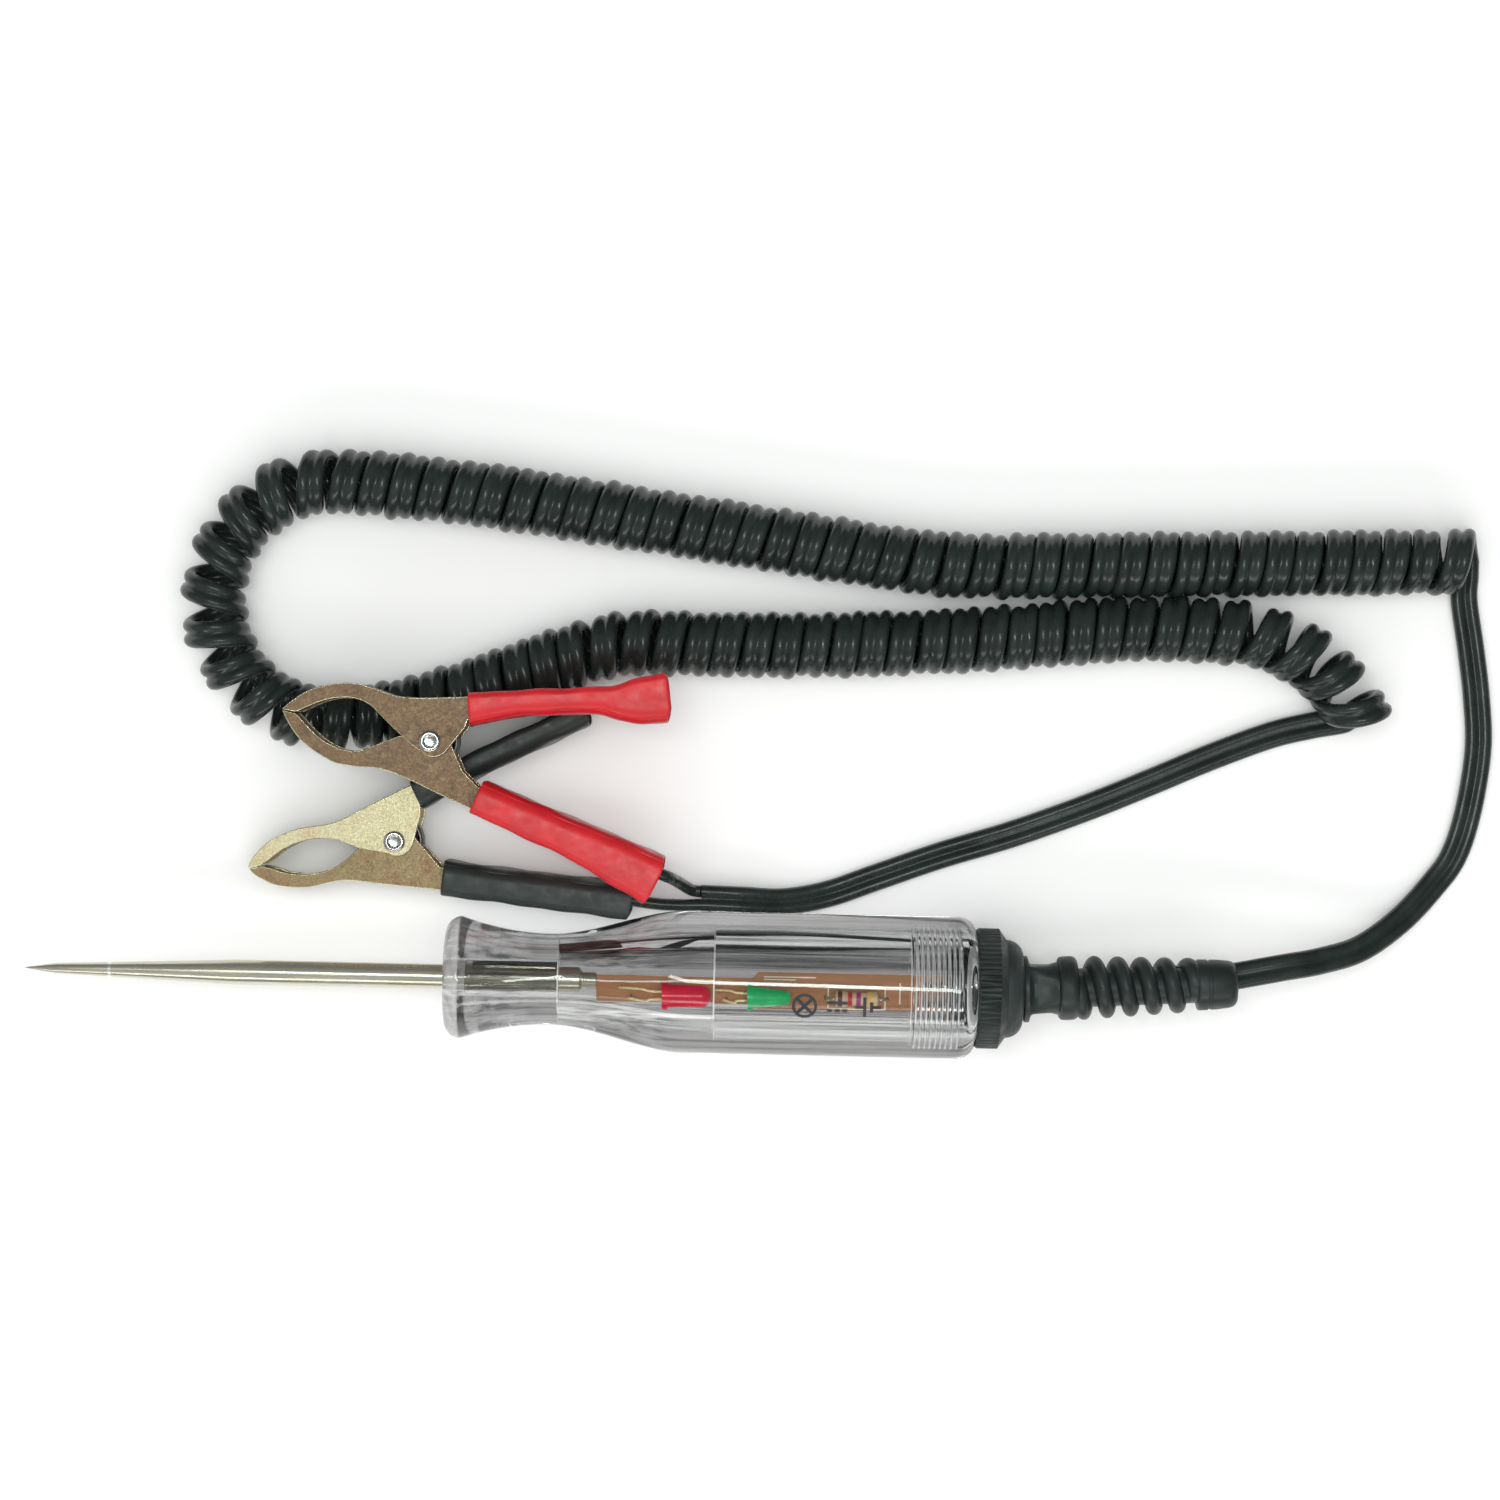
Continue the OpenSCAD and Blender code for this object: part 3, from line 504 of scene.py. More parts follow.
def dress(node, look, edge=None, bevel=0.0):
    """Gives a CAD node its material. A bevel breaks its sharp edges, in the material given for the edge if any,
    which paints a highlight along them.
    """
    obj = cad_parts[node]
    obj.data.materials.clear()
    obj.data.materials.append(look.material)
    if bevel:
        weld = obj.modifiers.new("weld", "WELD")
        weld.merge_threshold = WELD_WITHIN * MM
        b = obj.modifiers.new("bevel", "BEVEL")
        b.width = bevel * MM
        b.segments = 3
        b.limit_method = "ANGLE"
        b.angle_limit = math.radians(40)
        b.harden_normals = True
        if edge:
            obj.data.materials.append(edge.material)
            b.material = 1


# ---------- probe ----------

PROBE_R, PROBE_LEN, BOARD_X0 = 2.38, 80.0, 29.6

notch = ((0, 1.65), (0.2, 1.4), (0.4, 1.4), (0.6, 1.65))
notches = [(BORE_X + 5.2 + i * 0.7 + dx, r) for i in range(4) for dx, r in notch]
probe_profile = (
    [(-PROBE_LEN, 0.03), (-PROBE_LEN + 0.4, 0.14)]
    + [(-PROBE_LEN + t, 0.14 + (1.02 - 0.14) * ((t - 0.4) / 5.6) ** 0.9) for t in np.arange(1.2, 6.1, 0.8)]
    + [(-64.05, 1.37), (-64.0, 1.5), (-63.75, 1.5), (-63.7, 1.38), (-40.0, PROBE_R), (0.0, PROBE_R)]
    + [(0.1, 2.18), (1.1, 2.18), (1.2, PROBE_R), (6.8, PROBE_R)]
    + [(x, PROBE_R) for x in np.arange(7.0, 21.01, 1.0)]
    + [(21.2, PROBE_R), (BORE_X + 4.4, PROBE_R), (BORE_X + 4.6, PROBE_R - 0.12), (BORE_X + 5.1, 1.65)]
    + notches
    + [(BOARD_X0 - 0.15, 1.65), (BOARD_X0 - 0.16, 0.01)]
)


def fluted(x, a, r):
    depth = np.where((x > 6.9) & (x < 21.1), 0.2, 0.0)
    return r - depth * (np.abs(((a * 16 / (2 * math.pi)) % 1) - 0.5) > 0.36)


piece("Probe_rod", [lathe(probe_profile, 128, fluted)], STEEL.material, TESTER, ["probe"], 25)

# ---------- clear handle ----------

HANDLE_LEN, BARREL_R, WAIST_R, COLLAR_R = 100.6, 13.5, 8.65, 11.6
THREAD_X, REAR_R, THREAD_DEPTH, PITCH = 88.5, 7.35, 0.5, 1.0
ROD_BORE = PROBE_R + 0.05

quarter = np.linspace(0, math.pi / 2, 12)
outer = (
    [(0.0, ROD_BORE), (0.0, 5.5)]
    + [(2.9 - 2.9 * math.cos(a), COLLAR_R - 2.8 + 2.8 * math.sin(a)) for a in quarter]
    + [(x, WAIST_R + (COLLAR_R - WAIST_R) * ((20 - x) / 17.1) ** 2) for x in np.arange(3.9, 20, 1.0)]
    + [(x, WAIST_R + (BARREL_R - WAIST_R) * float(ease((x - 20) / 26))) for x in np.arange(20, 46.1, 1.0)]
    + [(x, BARREL_R) for x in np.arange(50, 97, 5.0)]
    + [(HANDLE_LEN - 3.6 + 3.6 * math.sin(a), BARREL_R - 3.4 + 3.4 * math.cos(a)) for a in quarter]
    + [(HANDLE_LEN, REAR_R + 0.8)]
)
inner = (
    [(x, REAR_R + max(0.0, (x - 99.8)) * 1.0) for x in np.arange(HANDLE_LEN - 0.02, THREAD_X - 1.2, -0.08)]
    + [(x, REAR_R) for x in (84, 76, 68, 60, STEP_X)]
    + [(STEP_X, 6.7), (44, 6.366), (36, 5.984), (28, 5.61), (BORE_X, 5.3), (BORE_X, ROD_BORE)]
)


def threaded(x, a, r):
    """Cuts the handle's helical groove into the rear end of its bore."""
    turn = (x - THREAD_X) / PITCH - a / (2 * math.pi)
    off = np.abs((turn + 0.5) % 1 - 0.5) * PITCH
    depth = THREAD_DEPTH * ease((0.45 - off) / 0.3) * np.clip((x - THREAD_X + 0.6) / 1.2, 0, 1)
    inside = (r < REAR_R + 0.9) & (x > THREAD_X - 1.2)
    return np.where(inside, r + depth, r)


shell = lathe(outer + inner, 144, threaded, looped=True)
piece("Handle_shell", [shell], CLEAR.material, TESTER, ["handle"], 32)


def on_barrel(mesh):
    """Wraps flat artwork (x, y, height) round the barrel's top."""
    v, f = mesh
    a = math.pi / 2 - v[:, 1] / BARREL_R
    r = BARREL_R + v[:, 2]
    return np.column_stack([v[:, 0], r * np.cos(a), r * np.sin(a)]), f


def ink(points, width=0.62, step=0.4):
    return on_barrel(prism(stroke(even_path(points, step), width), 0.006, 0.03))


def ink_ring(x, y, r, width=0.55):
    halves = []
    for a0 in (0, 180):
        a = np.radians(np.linspace(a0, a0 + 180, 25))
        halves.append(ink(np.column_stack([x + r * np.cos(a), y + r * np.sin(a)]), width))
    return halves


# Plain circuit symbols: a lamp, direct current, and a cell
PRINT_Y, LAMP_SIGN_X, LAMP_SIGN_R = -3.2, 68.0, 2.1
reach = 1.45
symbols = ink_ring(LAMP_SIGN_X, PRINT_Y, LAMP_SIGN_R)
for tilt in (1, -1):
    ends = [(LAMP_SIGN_X + side * reach, PRINT_Y + side * tilt * reach) for side in (-1, 1)]
    symbols.append(ink(ends))
symbols += [ink([(72.2, PRINT_Y + 0.75), (76.0, PRINT_Y + 0.75)])]
symbols += [ink([(72.2 + i * 1.42, PRINT_Y - 0.75), (73.15 + i * 1.42, PRINT_Y - 0.75)]) for i in range(3)]
symbols += [ink([(77.4, PRINT_Y), (79.0, PRINT_Y)]), ink([(79.2, PRINT_Y - 1.9), (79.2, PRINT_Y + 1.9)])]
symbols += [ink([(80.5, PRINT_Y - 1.0), (80.5, PRINT_Y + 1.0)]), ink([(80.7, PRINT_Y), (82.3, PRINT_Y)])]
piece("Handle_print", symbols, INK.material, TESTER, ())

# ---------- board ----------

BOARD_TOP = 0.2
dress("circuit_board", board_look())
dress("resistor", resistor_look(73.8))
dress("red_led", RED_LAMP)
dress("green_led", GREEN_LAMP)
dress("solder_joints", SOLDER)
dress("clip_solder_joints", SOLDER)


def silk(points, width=0.22):
    return prism(stroke(even_path(points, 0.5), width), BOARD_TOP + 0.004, BOARD_TOP + 0.03)


marks = [
    silk([(72.6, -4.5), (72.6, -0.5)]),
    silk([(72.7, -0.45), (83.3, -0.45)]),
    silk([(83.4, -0.5), (83.4, -4.5)]),
    silk([(72.7, -4.55), (83.3, -4.55)]),
    silk([(60.4, 1.3), (70.2, 1.3)]),
    silk([(60.4, 0.8), (66.4, 0.8)]),
    silk([(86.2, 0.6), (86.2, -3.4)]),
    silk([(88.2, 0.6), (88.2, -3.4)]),
]
piece("Board_print", marks, SILK.material, TESTER, ())

LAMP_Y, LAMP_Z, LEAD_R = -2.3, BOARD_TOP + 2.35 + 0.03, 0.25


def lamp_lead(x, side, hole, reach):
    hx, hy = hole
    knots = [
        (x - 0.03, LAMP_Y + side * 0.64, LAMP_Z),
        (x - 2, LAMP_Y + side * 0.75, LAMP_Z + 0.15),
        (x - reach * 0.62, LAMP_Y + side * 1.1, LAMP_Z + 0.2),
        (hx - 0.35, hy + 0.1, LAMP_Z - 0.5),
        (hx - 0.1, hy, 1.2),
        (hx, hy, 0.0),
        (hx + 0.04, hy, -1.35),
    ]
    return sweep(smooth_path(knots, 12), circle(LEAD_R, 12))


piece(
    "Lamp_leads",
    [
        lamp_lead(41.7, 1, (34.6, -1.2), 6.2),
        lamp_lead(41.7, -1, (36.4, -3.1), 4.4),
        lamp_lead(57.3, 1, (51.7, -1.3), 5.5),
        lamp_lead(57.3, -1, (53.3, -3.1), 3.9),
    ],
    GOLD.material,
    TESTER,
    ["led_leads"],
)
dress("resistor_leads", TIN)

# ---------- cap and strain relief ----------

dress("end_cap", CAP)

NECK_X, LEAN = 109.6, 2.65
RING_X, RING_END = 116.3, 119.9
RIBS_X, RIB_PITCH, COLLAR_X, RELIEF_END = 120.8, 4.45, 142.5, 150.2


def relief_radius(x, a, r):
    """Core, four flats on the neck, one helical rib, and the end collar, all as a radius."""
    off = (a + math.pi / 4) % (math.pi / 2) - math.pi / 4
    flat = np.minimum(r, 4.5 / np.cos(off))
    on_neck = ease((x - 110.6) / 0.5) * ease((115.6 - x) / 0.5)
    r = r * (1 - on_neck) + flat * on_neck
    turn = (x - RIBS_X - 0.3) / RIB_PITCH - (a - math.pi / 2) / (2 * math.pi) + 0.25
    k = np.round(turn)
    for whole in (k - 1, k, k + 1):
        span = whole + (a - math.pi / 2) / (2 * math.pi)
        near = np.clip(np.minimum(span + 0.2, 5.2 - span) / 0.35, 0, 1)
        crest = 6.15 - 1.0 * np.clip(span / 5, 0, 1)
        off = np.abs(turn - whole) * RIB_PITCH
        rib = (crest - 3.4) * np.sqrt(np.clip(1 - (off / 1.62) ** 2, 0, 1)) ** 0.85 * near + 3.4
        on_ribs = (x > RING_END - 1.0) & (x < COLLAR_X + 0.6)
        r = np.where(on_ribs & (off < 1.62) & (span > -0.25) & (span < 5.3), np.maximum(r, rib), r)
    return r


def at_relief(mesh):
    v, f = put((mesh[0] - [NECK_X, 0, 0], mesh[1]), turn=LEAN)
    return v + [NECK_X, 0, 0], f


tail = (
    [(NECK_X + 0.02, 0.01), (NECK_X + 0.02, 6.2), (NECK_X + 0.25, 6.32), (NECK_X + 0.9, 6.3)]
    + [(110.9, 6.2), (111.5, 6.03), (112.4, 5.72), (113.6, 5.3), (114.6, 5.1), (115.4, 5.03)]
    + [(RING_X - 0.05, 5.02)]
    + [(RING_X + 0.02, 5.55), (RING_X + 0.15, 5.78), (RING_X + 0.45, 5.97), (RING_X + 0.9, 6.05), (118.6, 6.07)]
    + [(119.2, 6.0), (119.6, 5.75), (RING_END, 5.3), (RING_END + 0.1, 3.75)]
    + [(x, 3.72 - 0.3 * (x - 120) / 22.5) for x in np.arange(120.1, COLLAR_X - 0.05, 0.1)]
    + [(COLLAR_X, 3.4), (COLLAR_X + 0.05, 4.45), (COLLAR_X + 0.2, 4.72), (COLLAR_X + 0.5, 4.85), (144.5, 4.82)]
    + [(144.65, 4.62), (145.1, 4.62), (145.25, 4.78), (146.5, 4.72), (148.6, 4.5), (149.3, 4.32), (149.8, 4.0)]
    + [(150.08, 3.55), (RELIEF_END, 3.0), (RELIEF_END, 0.01)]
)
root = [
    (103.9, 0.01), (103.9, 4.6), (104.4, 5.8), (107.4, 5.8), (107.4, 4.92),
    (NECK_X + 0.1, 4.92), (NECK_X + 0.1, 0.01),
]
piece(
    "Strain_relief_boot",
    [at_relief(lathe(tail, 120, relief_radius)), lathe(root, 64)],
    RELIEF_LOOK.material,
    RELIEF,
    ["strain_relief"],
    40,
)

# ---------- cord ----------

CORD_W, CORD_T, COIL_TURNS, COIL_R = 5.2, 2.6, 83, 6.45
BENCH_Z = -BARREL_R
COIL_MID = COIL_R - CORD_T / 2
COIL_Z = BENCH_Z + COIL_R + 0.02
CORD_Z = COIL_Z - COIL_MID


def twin_section(w=CORD_W, t=CORD_T, arc=10, squeeze=0.5):
    """Two round conductors side by side, joined by a web."""
    r = t / 2
    c = w / 2 - r
    open_angle = math.acos(min(c / r, 1) * 0.98) if c < r else math.asin(squeeze)
    right = np.linspace(-math.pi + open_angle, math.pi - open_angle, arc + 2)
    left = np.linspace(open_angle, 2 * math.pi - open_angle, arc + 2)
    return np.vstack([
        np.column_stack([c + r * np.cos(right), r * np.sin(right)]),
        np.column_stack([-c + r * np.cos(left), r * np.sin(left)]),
    ])


TWIN = twin_section()

# Centre line of the coil, from the handle's end, as lengths and bends in degrees
COIL_FROM, COIL_HEADING = np.array([192.9, 83.4]), 181.8
COIL_RUNS = (
    (87.9, 0), (22.5, -9.4), (69.8, 0), (36.6, 5.5), (74.7, 187.4), (23.9, 15),
    (23.1, 0), (15.8, -21.2), (79.8, 7.1), (31.5, -10), (30, -60),
)
# The last turns lean: their tops lie this far ahead of their middles.
COIL_LEAN, LEAN_LEN = 2.3, 33.0
# The first and last turns stand off their neighbours, which the straight lengths pass.
LEAD_ROOM = 1.5


def coil_line(step):
    """Points along the coil: distance, x, y, heading and bend so far, in radians."""
    rows, s0, h, bent = [], 0.0, math.radians(COIL_HEADING), 0.0
    p = COIL_FROM.copy()
    for length, degrees in COIL_RUNS:
        b = math.radians(degrees)
        n = max(int(round(length / step)), 1)
        for i in range(n + 1):
            s = length * i / n
            turn = b * s / length
            if abs(b) < 1e-6:
                q = p + s * np.array([math.cos(h), math.sin(h)])
            else:
                r = length / b
                q = p + r * np.array([math.sin(h + turn) - math.sin(h), math.cos(h) - math.cos(h + turn)])
            if i < n:
                rows.append((s0 + s, q[0], q[1], h + turn, bent + abs(turn)))
        p, h, bent, s0 = q, h + b, bent + abs(b), s0 + length
    rows.append((s0, p[0], p[1], h, bent))
    return np.array(rows)


def coil_mesh():
    line = coil_line(0.15)
    s, x, y, h, bent = line.T
    inner = s - COIL_R * bent
    pitch = inner[-1] / COIL_TURNS
    turn = inner / pitch
    a = -math.pi / 2 - 2 * math.pi * turn
    along = np.column_stack([np.cos(h), np.sin(h), np.zeros_like(h)])
    left = np.column_stack([-np.sin(h), np.cos(h), np.zeros_like(h)])
    out = np.cos(a)[:, None] * left + np.sin(a)[:, None] * np.array([0, 0, 1.0])
    # Turns are never quite even: each sits a little off along the coil and across it.
    ends = ease(turn / 1.5) * ease((COIL_TURNS - turn) / 1.5)
    shift = ends * (0.13 * np.sin(2.31 * turn + 0.7) + 0.1 * np.sin(0.73 * turn) + 0.07 * np.sin(4.9 * turn))
    lift = ends * (0.1 * np.sin(1.7 * turn + 2) + 0.09 * np.sin(3.3 * turn)) - 0.12 * ends
    tilt = np.radians(ends * (6 + 3 * np.sin(0.9 * turn)))
    c, sn = np.cos(tilt)[:, None], np.sin(tilt)[:, None]
    lean = COIL_LEAN * ease(1 - (s[-1] - s) / LEAN_LEN) * np.sin(a)
    lean += LEAD_ROOM * (ease(1 - (s[-1] - s) / pitch) - ease(1 - s / pitch))
    twin = twin_section(CORD_W + 0.15)
    u = twin[None, :, 0] * c - twin[None, :, 1] * sn + (shift + lean)[:, None]
    v = twin[None, :, 0] * sn + twin[None, :, 1] * c + COIL_MID + lift[:, None]
    middle = np.column_stack([x, y, np.full_like(x, COIL_Z)])
    return loft(middle[:, None] + v[..., None] * out[:, None] + u[..., None] * along[:, None]), line[-1]


coil, coil_end = coil_mesh()
piece("Coiled_cord", [coil], CORD.material, TESTER, ["coil_cord"], 60)

heading = math.radians(COIL_HEADING)
COIL_ENTRY = np.array([
    COIL_FROM[0] - LEAD_ROOM * math.cos(heading), COIL_FROM[1] - LEAD_ROOM * math.sin(heading), CORD_Z,
])
CORD_IN, CORD_OUT = np.array([103.5, 0, 0]), np.array([RELIEF_END, 3.4, 0])
lead_path = np.vstack([
    [CORD_IN, (CORD_IN * 2 + CORD_OUT) / 3, (CORD_IN + CORD_OUT * 2) / 3],
    smooth_path(
        [
            CORD_OUT, (158.5, 5, -0.9), (166.5, 6.4, -3.3), (174.8, 8.8, -6.9), (183, 14.3, -10.4),
            (189.5, 21.2, -12), (193.4, 27, CORD_Z), (196, 35.8, CORD_Z), (197.6, 47.4, CORD_Z),
            (197.1, 57.1, CORD_Z), (195.8, 66.7, CORD_Z), (194.3, 76, CORD_Z),
            COIL_ENTRY - [0, CORD_W / 2, 0], COIL_ENTRY,
        ],
        12,
    ),
])
lead = piece("Handle_cord", [sweep(lead_path, TWIN)], CORD.material, None, ["handle_lead"], 60)
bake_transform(lead)

SPLIT = np.array([48.0, 15.6, CORD_Z + 3.7])
end_heading = coil_end[3]
coil_exit = np.array([coil_end[1], coil_end[2], CORD_Z])
coil_exit += (LEAD_ROOM - COIL_LEAN) * np.array([math.cos(end_heading), math.sin(end_heading), 0])
exit_way = np.array([math.sin(end_heading), -math.cos(end_heading), 0])
clip_path = smooth_path(
    [
        coil_exit, coil_exit + CORD_W / 4 * exit_way, coil_exit + CORD_W / 2 * exit_way,
        (164.9, 51.3, CORD_Z), (157.3, 49.3, CORD_Z),
        (146, 44.9, CORD_Z), (134, 39.6, CORD_Z), (122, 34.5, CORD_Z), (108, 29.2, CORD_Z),
        (94, 24.7, CORD_Z), (82, 20.3, CORD_Z), (72.5, 16.8, CORD_Z), (64, 15.2, CORD_Z + 1.5),
        (56, 15.4, CORD_Z + 3.2), SPLIT,
    ],
    12,
)
piece("Clip_cord", [sweep(clip_path, TWIN)], CORD.material, TESTER, ["clip_lead"], 60)

# ---------- clips ----------

RED_AT, RED_TURN = np.array([-3.1, 44.6, 5.52]), -10.95
BLACK_AT, BLACK_TURN = np.array([-10.6, 25.35, -7.23]), 11.45
CLIP_T, CLIP_W, SLEEVE_W, WALL = 0.9, 11.0, 12.5, 0.65
SOLDER_AT, SOLDER_R, WIRE_R = 30.0, 1.6, 1.15

# Backs of the four handles, as the place where each starts and its slope
RED_UPPER, RED_LOWER = ((4.05, 9.4), 15.0), ((4.05, 9.4), 12.5)
BLACK_UPPER, BLACK_LOWER = ((4.05, 9.8), 15.0), ((4.05, 9.8), 17.0)


def grip(line, d, depth):
    """Place at distance d along a handle's back, and depth in from it."""
    c, s = math.cos(math.radians(line[1])), math.sin(math.radians(line[1]))
    return np.array(line[0]) + np.asarray(d)[..., None] * [c, s] + np.asarray(depth)[..., None] * [s, -c]


def wire_end(at, turn, line):
    p = grip(line, SOLDER_AT + SOLDER_R + 0.1, CLIP_T + 0.08 + SOLDER_R)
    return put((np.array([[p[0], -p[1], 0.0]]), None), at, turn)[0][0]


def clip_wire(name, node, knots):
    path = even_path(smooth_path(knots, 12), 0.8)
    piece(name, [sweep(path, circle(WIRE_R, 20))], WIRE.material, TESTER, [node], 60)


clip_wire("Red_clip_lead", "red_clip_wire", [
    SPLIT + [0, CORD_W / 4, 0], (46.2, 17.1, -8.3), (44.5, 18.2, -5.2), (42.9, 19.3, -1), (40.4, 20.5, 3.6),
    wire_end(RED_AT, RED_TURN, RED_LOWER),
])
clip_wire("Black_clip_lead", "black_clip_wire", [
    SPLIT - [0, CORD_W / 4, 0], (43.5, 14.2, -8.1), (38, 14.5, -7.6),
    wire_end(BLACK_AT, BLACK_TURN, BLACK_LOWER),
])


def rounded_box(h, w, outer_r, inner_r, per_corner=8):
    """Points (u, v) of a box with rounded corners: u across the handle, inner edge up, and v across the clip."""
    points = []
    for k in range(4):
        r = min(inner_r if k in (0, 3) else outer_r, h / 2 - 0.01)
        cu, cv = (1, -1, -1, 1)[k] * (h / 2 - r), (1, 1, -1, -1)[k] * (w / 2 - r)
        for a in np.radians(np.linspace(90 * k, 90 * k + 90, per_corner)):
            points.append((cu + r * math.cos(a), cv + r * math.sin(a)))
    return np.array(points)


def sleeve(line, shape, seed):
    """Dipped vinyl sleeve over a handle, gently dented, with rolled rims and a bowed far end.

    The shape's rows are distance along the handle, outer edge and inner edge.
    """
    rows = even_path(smooth_path(shape, 8), 0.8)
    even = np.linspace(0, 1, len(rows))
    rims = np.array([0.0, 0.002, 0.005, 0.01])
    at = np.concatenate([rims, even[1:-1], 1 - rims[::-1]])
    rows = np.stack([np.interp(at, even, rows[:, i]) for i in range(3)], axis=1)
    skins = {"out": [], "in": []}
    for t, (d, top, bottom) in zip(at, rows):
        lip = 0.3 * max(0.0, 1 - min(t, 1 - t) / 0.01) ** 2
        h = bottom - top
        for key, hh, ww, radii in (
            ("out", h - lip, SLEEVE_W - lip, (1.3, 2.7)), ("in", h - 2 * WALL + lip, CLIP_W + 0.14, (0.3, 0.3)),
        ):
            box = rounded_box(hh, ww, *radii)
            bow = 0.8 * float(ease((t - 0.9) / 0.1)) * (1 - (box[:, 0] / (hh / 2)) ** 2)
            if key == "out":
                dent = 0.16 * np.sin(d * 0.55 + box[:, 1] * 0.4 + seed) * np.sin(d * 0.17 + seed * 2)
                box = box * (1 + (dent * ease(t / 0.1) * ease((1 - t) / 0.1) / (hh / 2))[:, None] * [1, 0])
            place = grip(line, d + bow, (top + bottom) / 2 + box[:, 0])
            skins[key].append(np.column_stack([place, box[:, 1]]))
    return loft(skins["out"] + skins["in"][::-1], looped=True)


RED_UPPER_SHAPE = [
    (1.2, -0.75, 5.5), (6, -0.75, 4.75), (12, -0.75, 4.05), (18, -0.75, 4.25), (25, -0.75, 4.5), (29, -0.8, 5.8),
    (33.5, -2, 6.65), (38.2, -2.7, 6.7),
]
RED_LOWER_SHAPE = [
    (6.2, -0.75, 5.85), (14, -0.75, 6.05), (24, -0.8, 6.4), (30, -1.15, 6.65), (36, -1.9, 6.85), (43, -2.7, 6.95),
]
BLACK_UPPER_SHAPE = [(1, -0.75, 5.1), (5, -0.75, 4.75), (12, -0.75, 4.15), (24, -0.75, 4.1), (36.6, -0.75, 4.15)]
BLACK_LOWER_SHAPE = [
    (3.2, -0.95, 5.95), (8, -1, 5.6), (14, -1.1, 5.5), (24, -1.2, 5.5), (33, -1.35, 5.5), (39, -1.4, 5.4),
]
for name, line, shape, seed, lower in (
    ("Red_upper_sleeve", RED_UPPER, RED_UPPER_SHAPE, 1.0, False),
    ("Red_lower_sleeve", RED_LOWER, RED_LOWER_SHAPE, 2.2, True),
    ("Black_upper_sleeve", BLACK_UPPER, BLACK_UPPER_SHAPE, 3.1, False),
    ("Black_lower_sleeve", BLACK_LOWER, BLACK_LOWER_SHAPE, 4.4, True),
):
    colour, side, _ = name.lower().split("_")
    at, turn = (RED_AT, RED_TURN) if colour == "red" else (BLACK_AT, BLACK_TURN)
    piece(
        name, [put(sleeve(line, shape, seed), at, turn, lower)], (RED if colour == "red" else BLACK).material,
        TESTER if lower else f"{colour}_clip_jaw", [f"{colour}_clip_{side}_sleeve"],
        50,
    )

for node, look in (
    ("red_clip_upper_jaw", COPPERY), ("red_clip_lower_jaw", COPPERY),
    ("black_clip_upper_jaw", GILT), ("black_clip_lower_jaw", SHADED_LOWER_PLATE),
):
    dress(node, look, RIM_HIGHLIGHT, 0.16)


def rivet_mesh():
    """Semi-tubular rivet: a rolled ring head at each end, with a hollow in its middle."""
    top = 5.52
    head = [(top - 0.02, 2.02), (top + 0.12, 2.06), (top + 0.34, 1.98), (top + 0.5, 1.72), (top + 0.54, 1.42)]
    head += [(top + 0.46, 1.16), (top + 0.22, 1.0), (top - 0.1, 0.92), (top - 0.16, 0.5), (top - 0.14, 0.01)]
    end = [(-x, r) for x, r in head[::-1]]
    return upright(lathe(end + [(-top + 0.01, 1.5), (top - 0.03, 1.5)] + head, 64))


SPRING_R, SPRING_WIRE, SPRING_LEAN, SPRING_LEG = 4.7, 0.6, 21.0, 13.0


def spring_mesh():
    wound = math.radians(1080 + 2 * (90 - SPRING_LEAN))
    first = math.radians(90 + SPRING_LEAN)
    a = first + wound * np.linspace(0, 1, 220)
    rise = 1.5 * wound / (2 * math.pi)
    turns = np.column_stack([SPRING_R * np.cos(a), SPRING_R * np.sin(a), rise * (np.linspace(0, 1, 220) - 0.5)])
    c, s = math.cos(math.radians(SPRING_LEAN)), math.sin(math.radians(SPRING_LEAN))
    legs = np.linspace(SPRING_LEG, 0.6, 8)[:, None]
    path = np.vstack([turns[0] + legs * [c, s, 0], turns, turns[-1] + legs[::-1] * [c, -s, 0]])
    return sweep(path, circle(SPRING_WIRE, 12))


for colour, at, turn in (("Red", RED_AT, RED_TURN), ("Black", BLACK_AT, BLACK_TURN)):
    low = colour.lower()
    rivet = put(rivet_mesh(), at, turn)
    piece(f"{colour}_rivet", [rivet], RIVET.material, TESTER, [f"{low}_clip_rivet"], 50)
    wound = put(spring_mesh(), at, turn)
    spring = piece(f"{colour}_spring", [wound], SPRING.material, None, [f"{low}_clip_spring"], 60)
    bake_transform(spring)

# Two wires from the board to the cord, inside the cap
board_wire_meshes = []
for side, (px, py) in ((-1, (91.4, -3.1)), (1, (91.4, 0.4))):
    knots = [
        (px, py, BOARD_TOP + 0.1), (px + 0.3, py, BOARD_TOP + 1.2), (px + 2.2, py * 0.95, BOARD_TOP + 1.7),
        (px + 6, side * 1.9, 1.3), (101.0, side * 1.35, 0.3), (103.48, side * 1.3, 0),
    ]
    board_wire_meshes.append(sweep(smooth_path(knots, 10), circle(0.65, 16)))
wires = piece("Board_wires", board_wire_meshes, WIRE.material, None, ["board_wires"], 60)
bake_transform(wires)

# ---------- stage, light and camera ----------

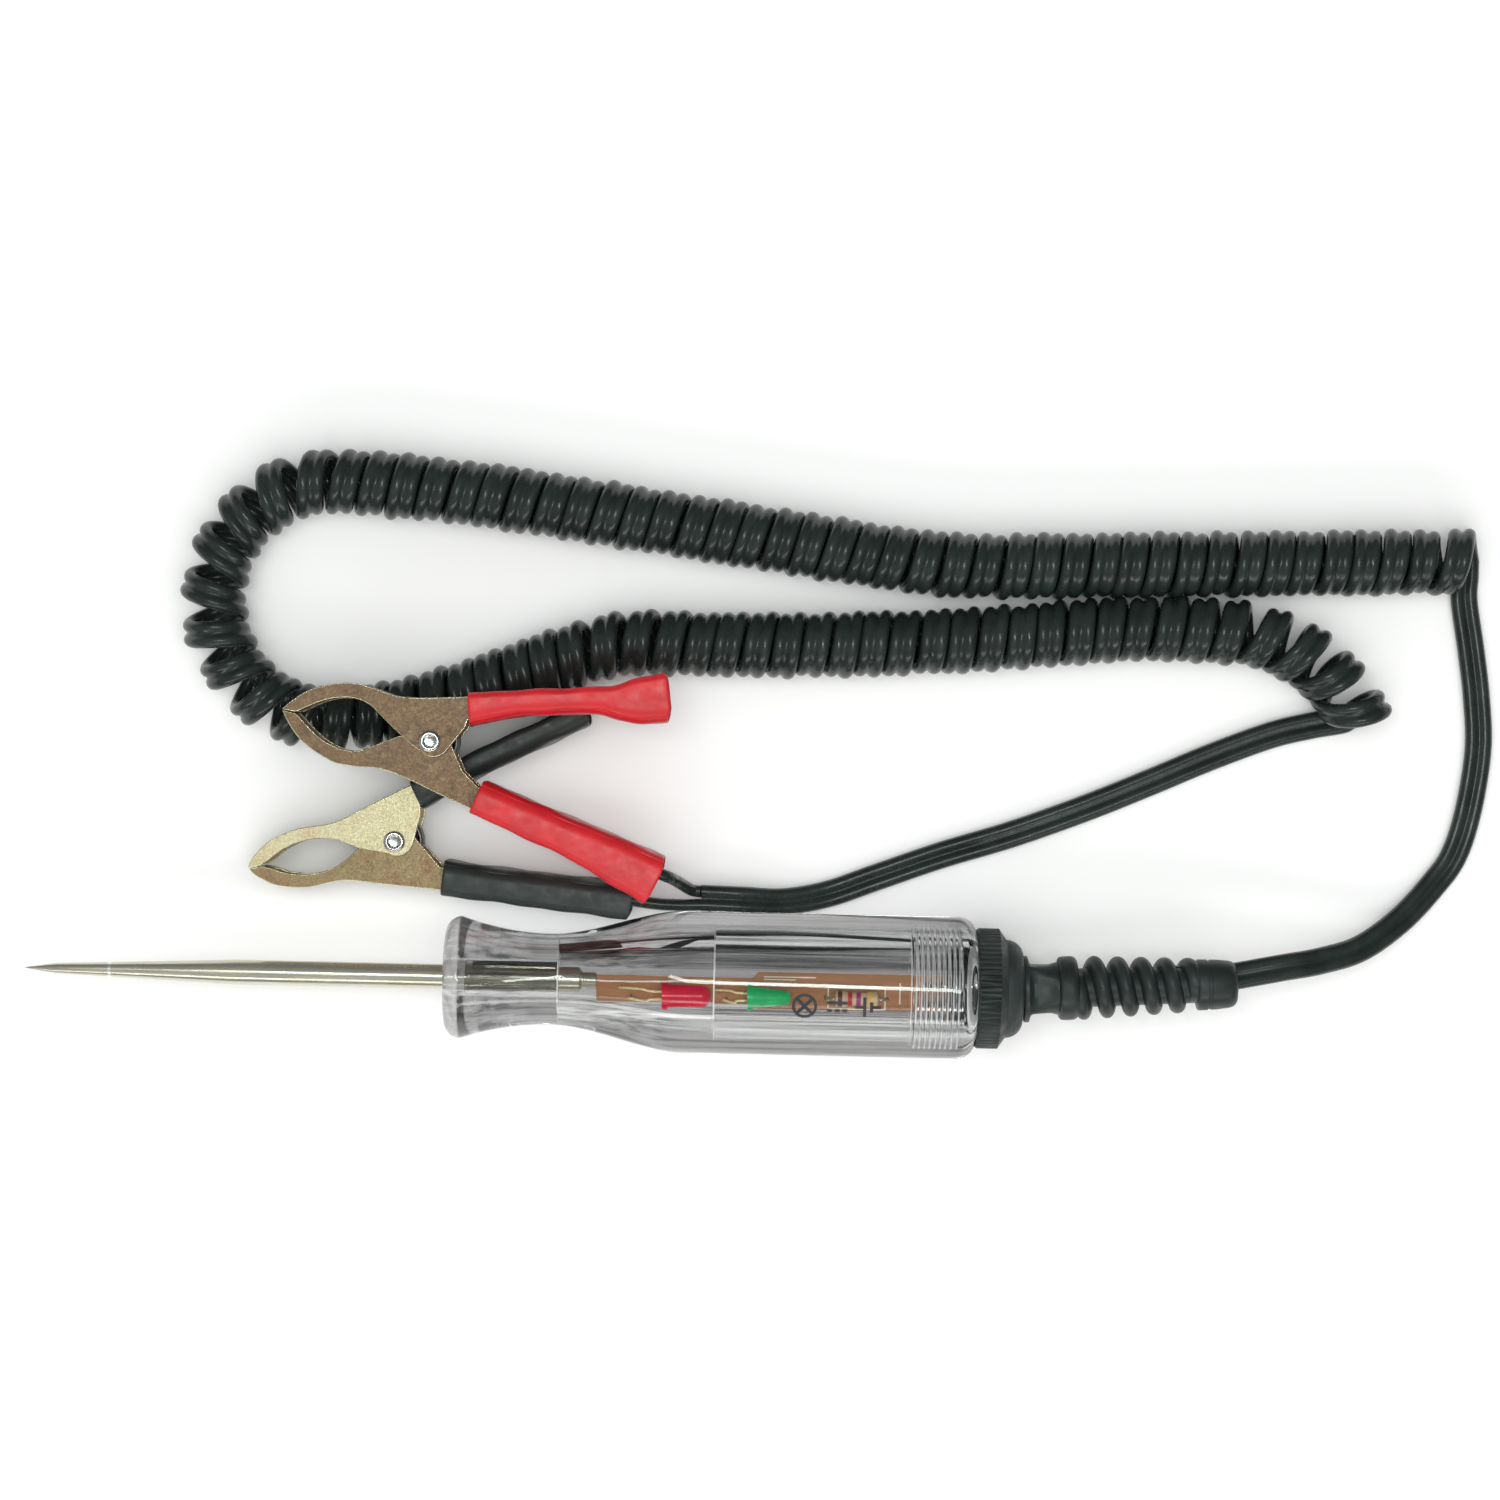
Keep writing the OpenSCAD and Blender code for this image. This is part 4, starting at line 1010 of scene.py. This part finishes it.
floor_look = Look("floor", (0.9, 0.9, 0.9), 0.75)
floor_look.color(floor_look.ramp(floor_look.noise(300, 2), [(0.3, 0.88), (0.7, 0.92)]))
FLOOR_HALF, FLOOR_DROP = 2.0, 0.02
floor_data = bpy.data.meshes.new("Floor")
floor_z = (BENCH_Z - FLOOR_DROP) * MM
corners = [(x * FLOOR_HALF, y * FLOOR_HALF, floor_z) for x, y in ((-1, -1), (1, -1), (1, 1), (-1, 1))]
floor_data.from_pydata(corners, [], [(0, 1, 2, 3)])
floor_data.materials.append(floor_look.material)
floor = bpy.data.objects.new("Floor", floor_data)
bpy.context.scene.collection.objects.link(floor)

world = bpy.data.worlds.new("studio")
bpy.context.scene.world = world
world.use_nodes = True
nodes, links = world.node_tree.nodes, world.node_tree.links
split = nodes.new("ShaderNodeSeparateXYZ")
links.new(nodes.new("ShaderNodeTexCoord").outputs["Generated"], split.inputs[0])


def world_math(operation, a, b=None):
    node = nodes.new("ShaderNodeMath")
    node.operation = operation
    for k, value in enumerate((a, b)):
        if isinstance(value, (int, float)):
            node.inputs[k].default_value = value
        elif value is not None:
            links.new(value, node.inputs[k])
    return node.outputs[0]


def spread(value, a, b, to_a, to_b):
    """Value between a and b carried over to between to_a and to_b."""
    node = nodes.new("ShaderNodeMapRange")
    for k, number in enumerate((a, b, to_a, to_b)):
        node.inputs[k + 1].default_value = number
    links.new(value, node.inputs["Value"])
    return node.outputs["Result"]


EVEN_FILL, PANEL_WAVES = 0.75, 11.0
# Pale overhead, dark near the horizon, and darker towards +Y, as in a tent lit from above
tent = world_math("MULTIPLY", spread(split.outputs["Z"], 0.15, 0.75, 0.16, 0.62),
                  spread(split.outputs["Y"], -0.5, 0.6, 1.0, 0.45))
# Long panels and gaps along X, which the clear handle shows as streaks
angle = world_math("ARCTAN2", split.outputs["Y"], split.outputs["Z"])
panels = spread(world_math("SINE", world_math("MULTIPLY", angle, PANEL_WAVES)), -0.5, 0.5, 0.4, 1.0)
# A pale wall beyond the probe, which the handle's collar shows
wall = spread(split.outputs["X"], -0.55, -0.95, 0.0, 0.45)
shown = world_math("ADD", world_math("MULTIPLY", tent, panels), wall)
# Matt surfaces get an even fill instead, so that shadows stay light.
soft = nodes.new("ShaderNodeLightPath").outputs["Is Diffuse Ray"]
seen = world_math("MULTIPLY", shown, world_math("SUBTRACT", 1.0, soft))
fill = world_math("ADD", world_math("MULTIPLY", soft, EVEN_FILL), seen)
links.new(fill, nodes["Background"].inputs["Color"])
nodes["Background"].inputs["Strength"].default_value = 0.6

CENTRE = np.array([0.0568, 0.0443, 0.0])


def softbox(name, at, size, power, color=(1, 1, 1), mirrored=True):
    """Rectangular light aimed at the scene's centre. Unless mirrored, it shows in no reflection."""
    data = bpy.data.lights.new(name, "AREA")
    data.shape, data.size, data.size_y = "RECTANGLE", size[0], size[1]
    data.energy, data.color = power, color
    light = bpy.data.objects.new(name, data)
    bpy.context.scene.collection.objects.link(light)
    light.location = at
    light.rotation_euler = Vector(np.asarray(at) - CENTRE).to_track_quat("Z", "Y").to_euler()
    light.visible_glossy = mirrored
    light.visible_transmission = mirrored


softbox("overhead", (0.0568, -0.1, 0.94), (1.1, 1.1), 6.7, (1.0, 1.0, 0.99), mirrored=False)
softbox("strip_front", (0.05, -0.75, 0.55), (1.4, 0.12), 2.6, (1.0, 0.99, 0.95))
softbox("strip_over", (0.03, 0.06, 0.85), (0.07, 0.5), 1.6, (0.93, 1.0, 0.96))

LENS, SENSOR, WIDTH = 85.0, 36.0, 0.285
camera_data = bpy.data.cameras.new("camera")
camera_data.lens, camera_data.sensor_width = LENS, SENSOR
camera_data.clip_start, camera_data.clip_end = 0.01, 20
camera = bpy.data.objects.new("camera", camera_data)
bpy.context.scene.collection.objects.link(camera)
camera.location = (CENTRE[0], CENTRE[1], WIDTH * LENS / SENSOR)
camera.rotation_euler = (0, 0, math.radians(1.25))
bpy.context.scene.camera = camera
bpy.context.scene.view_settings.view_transform = "Standard"
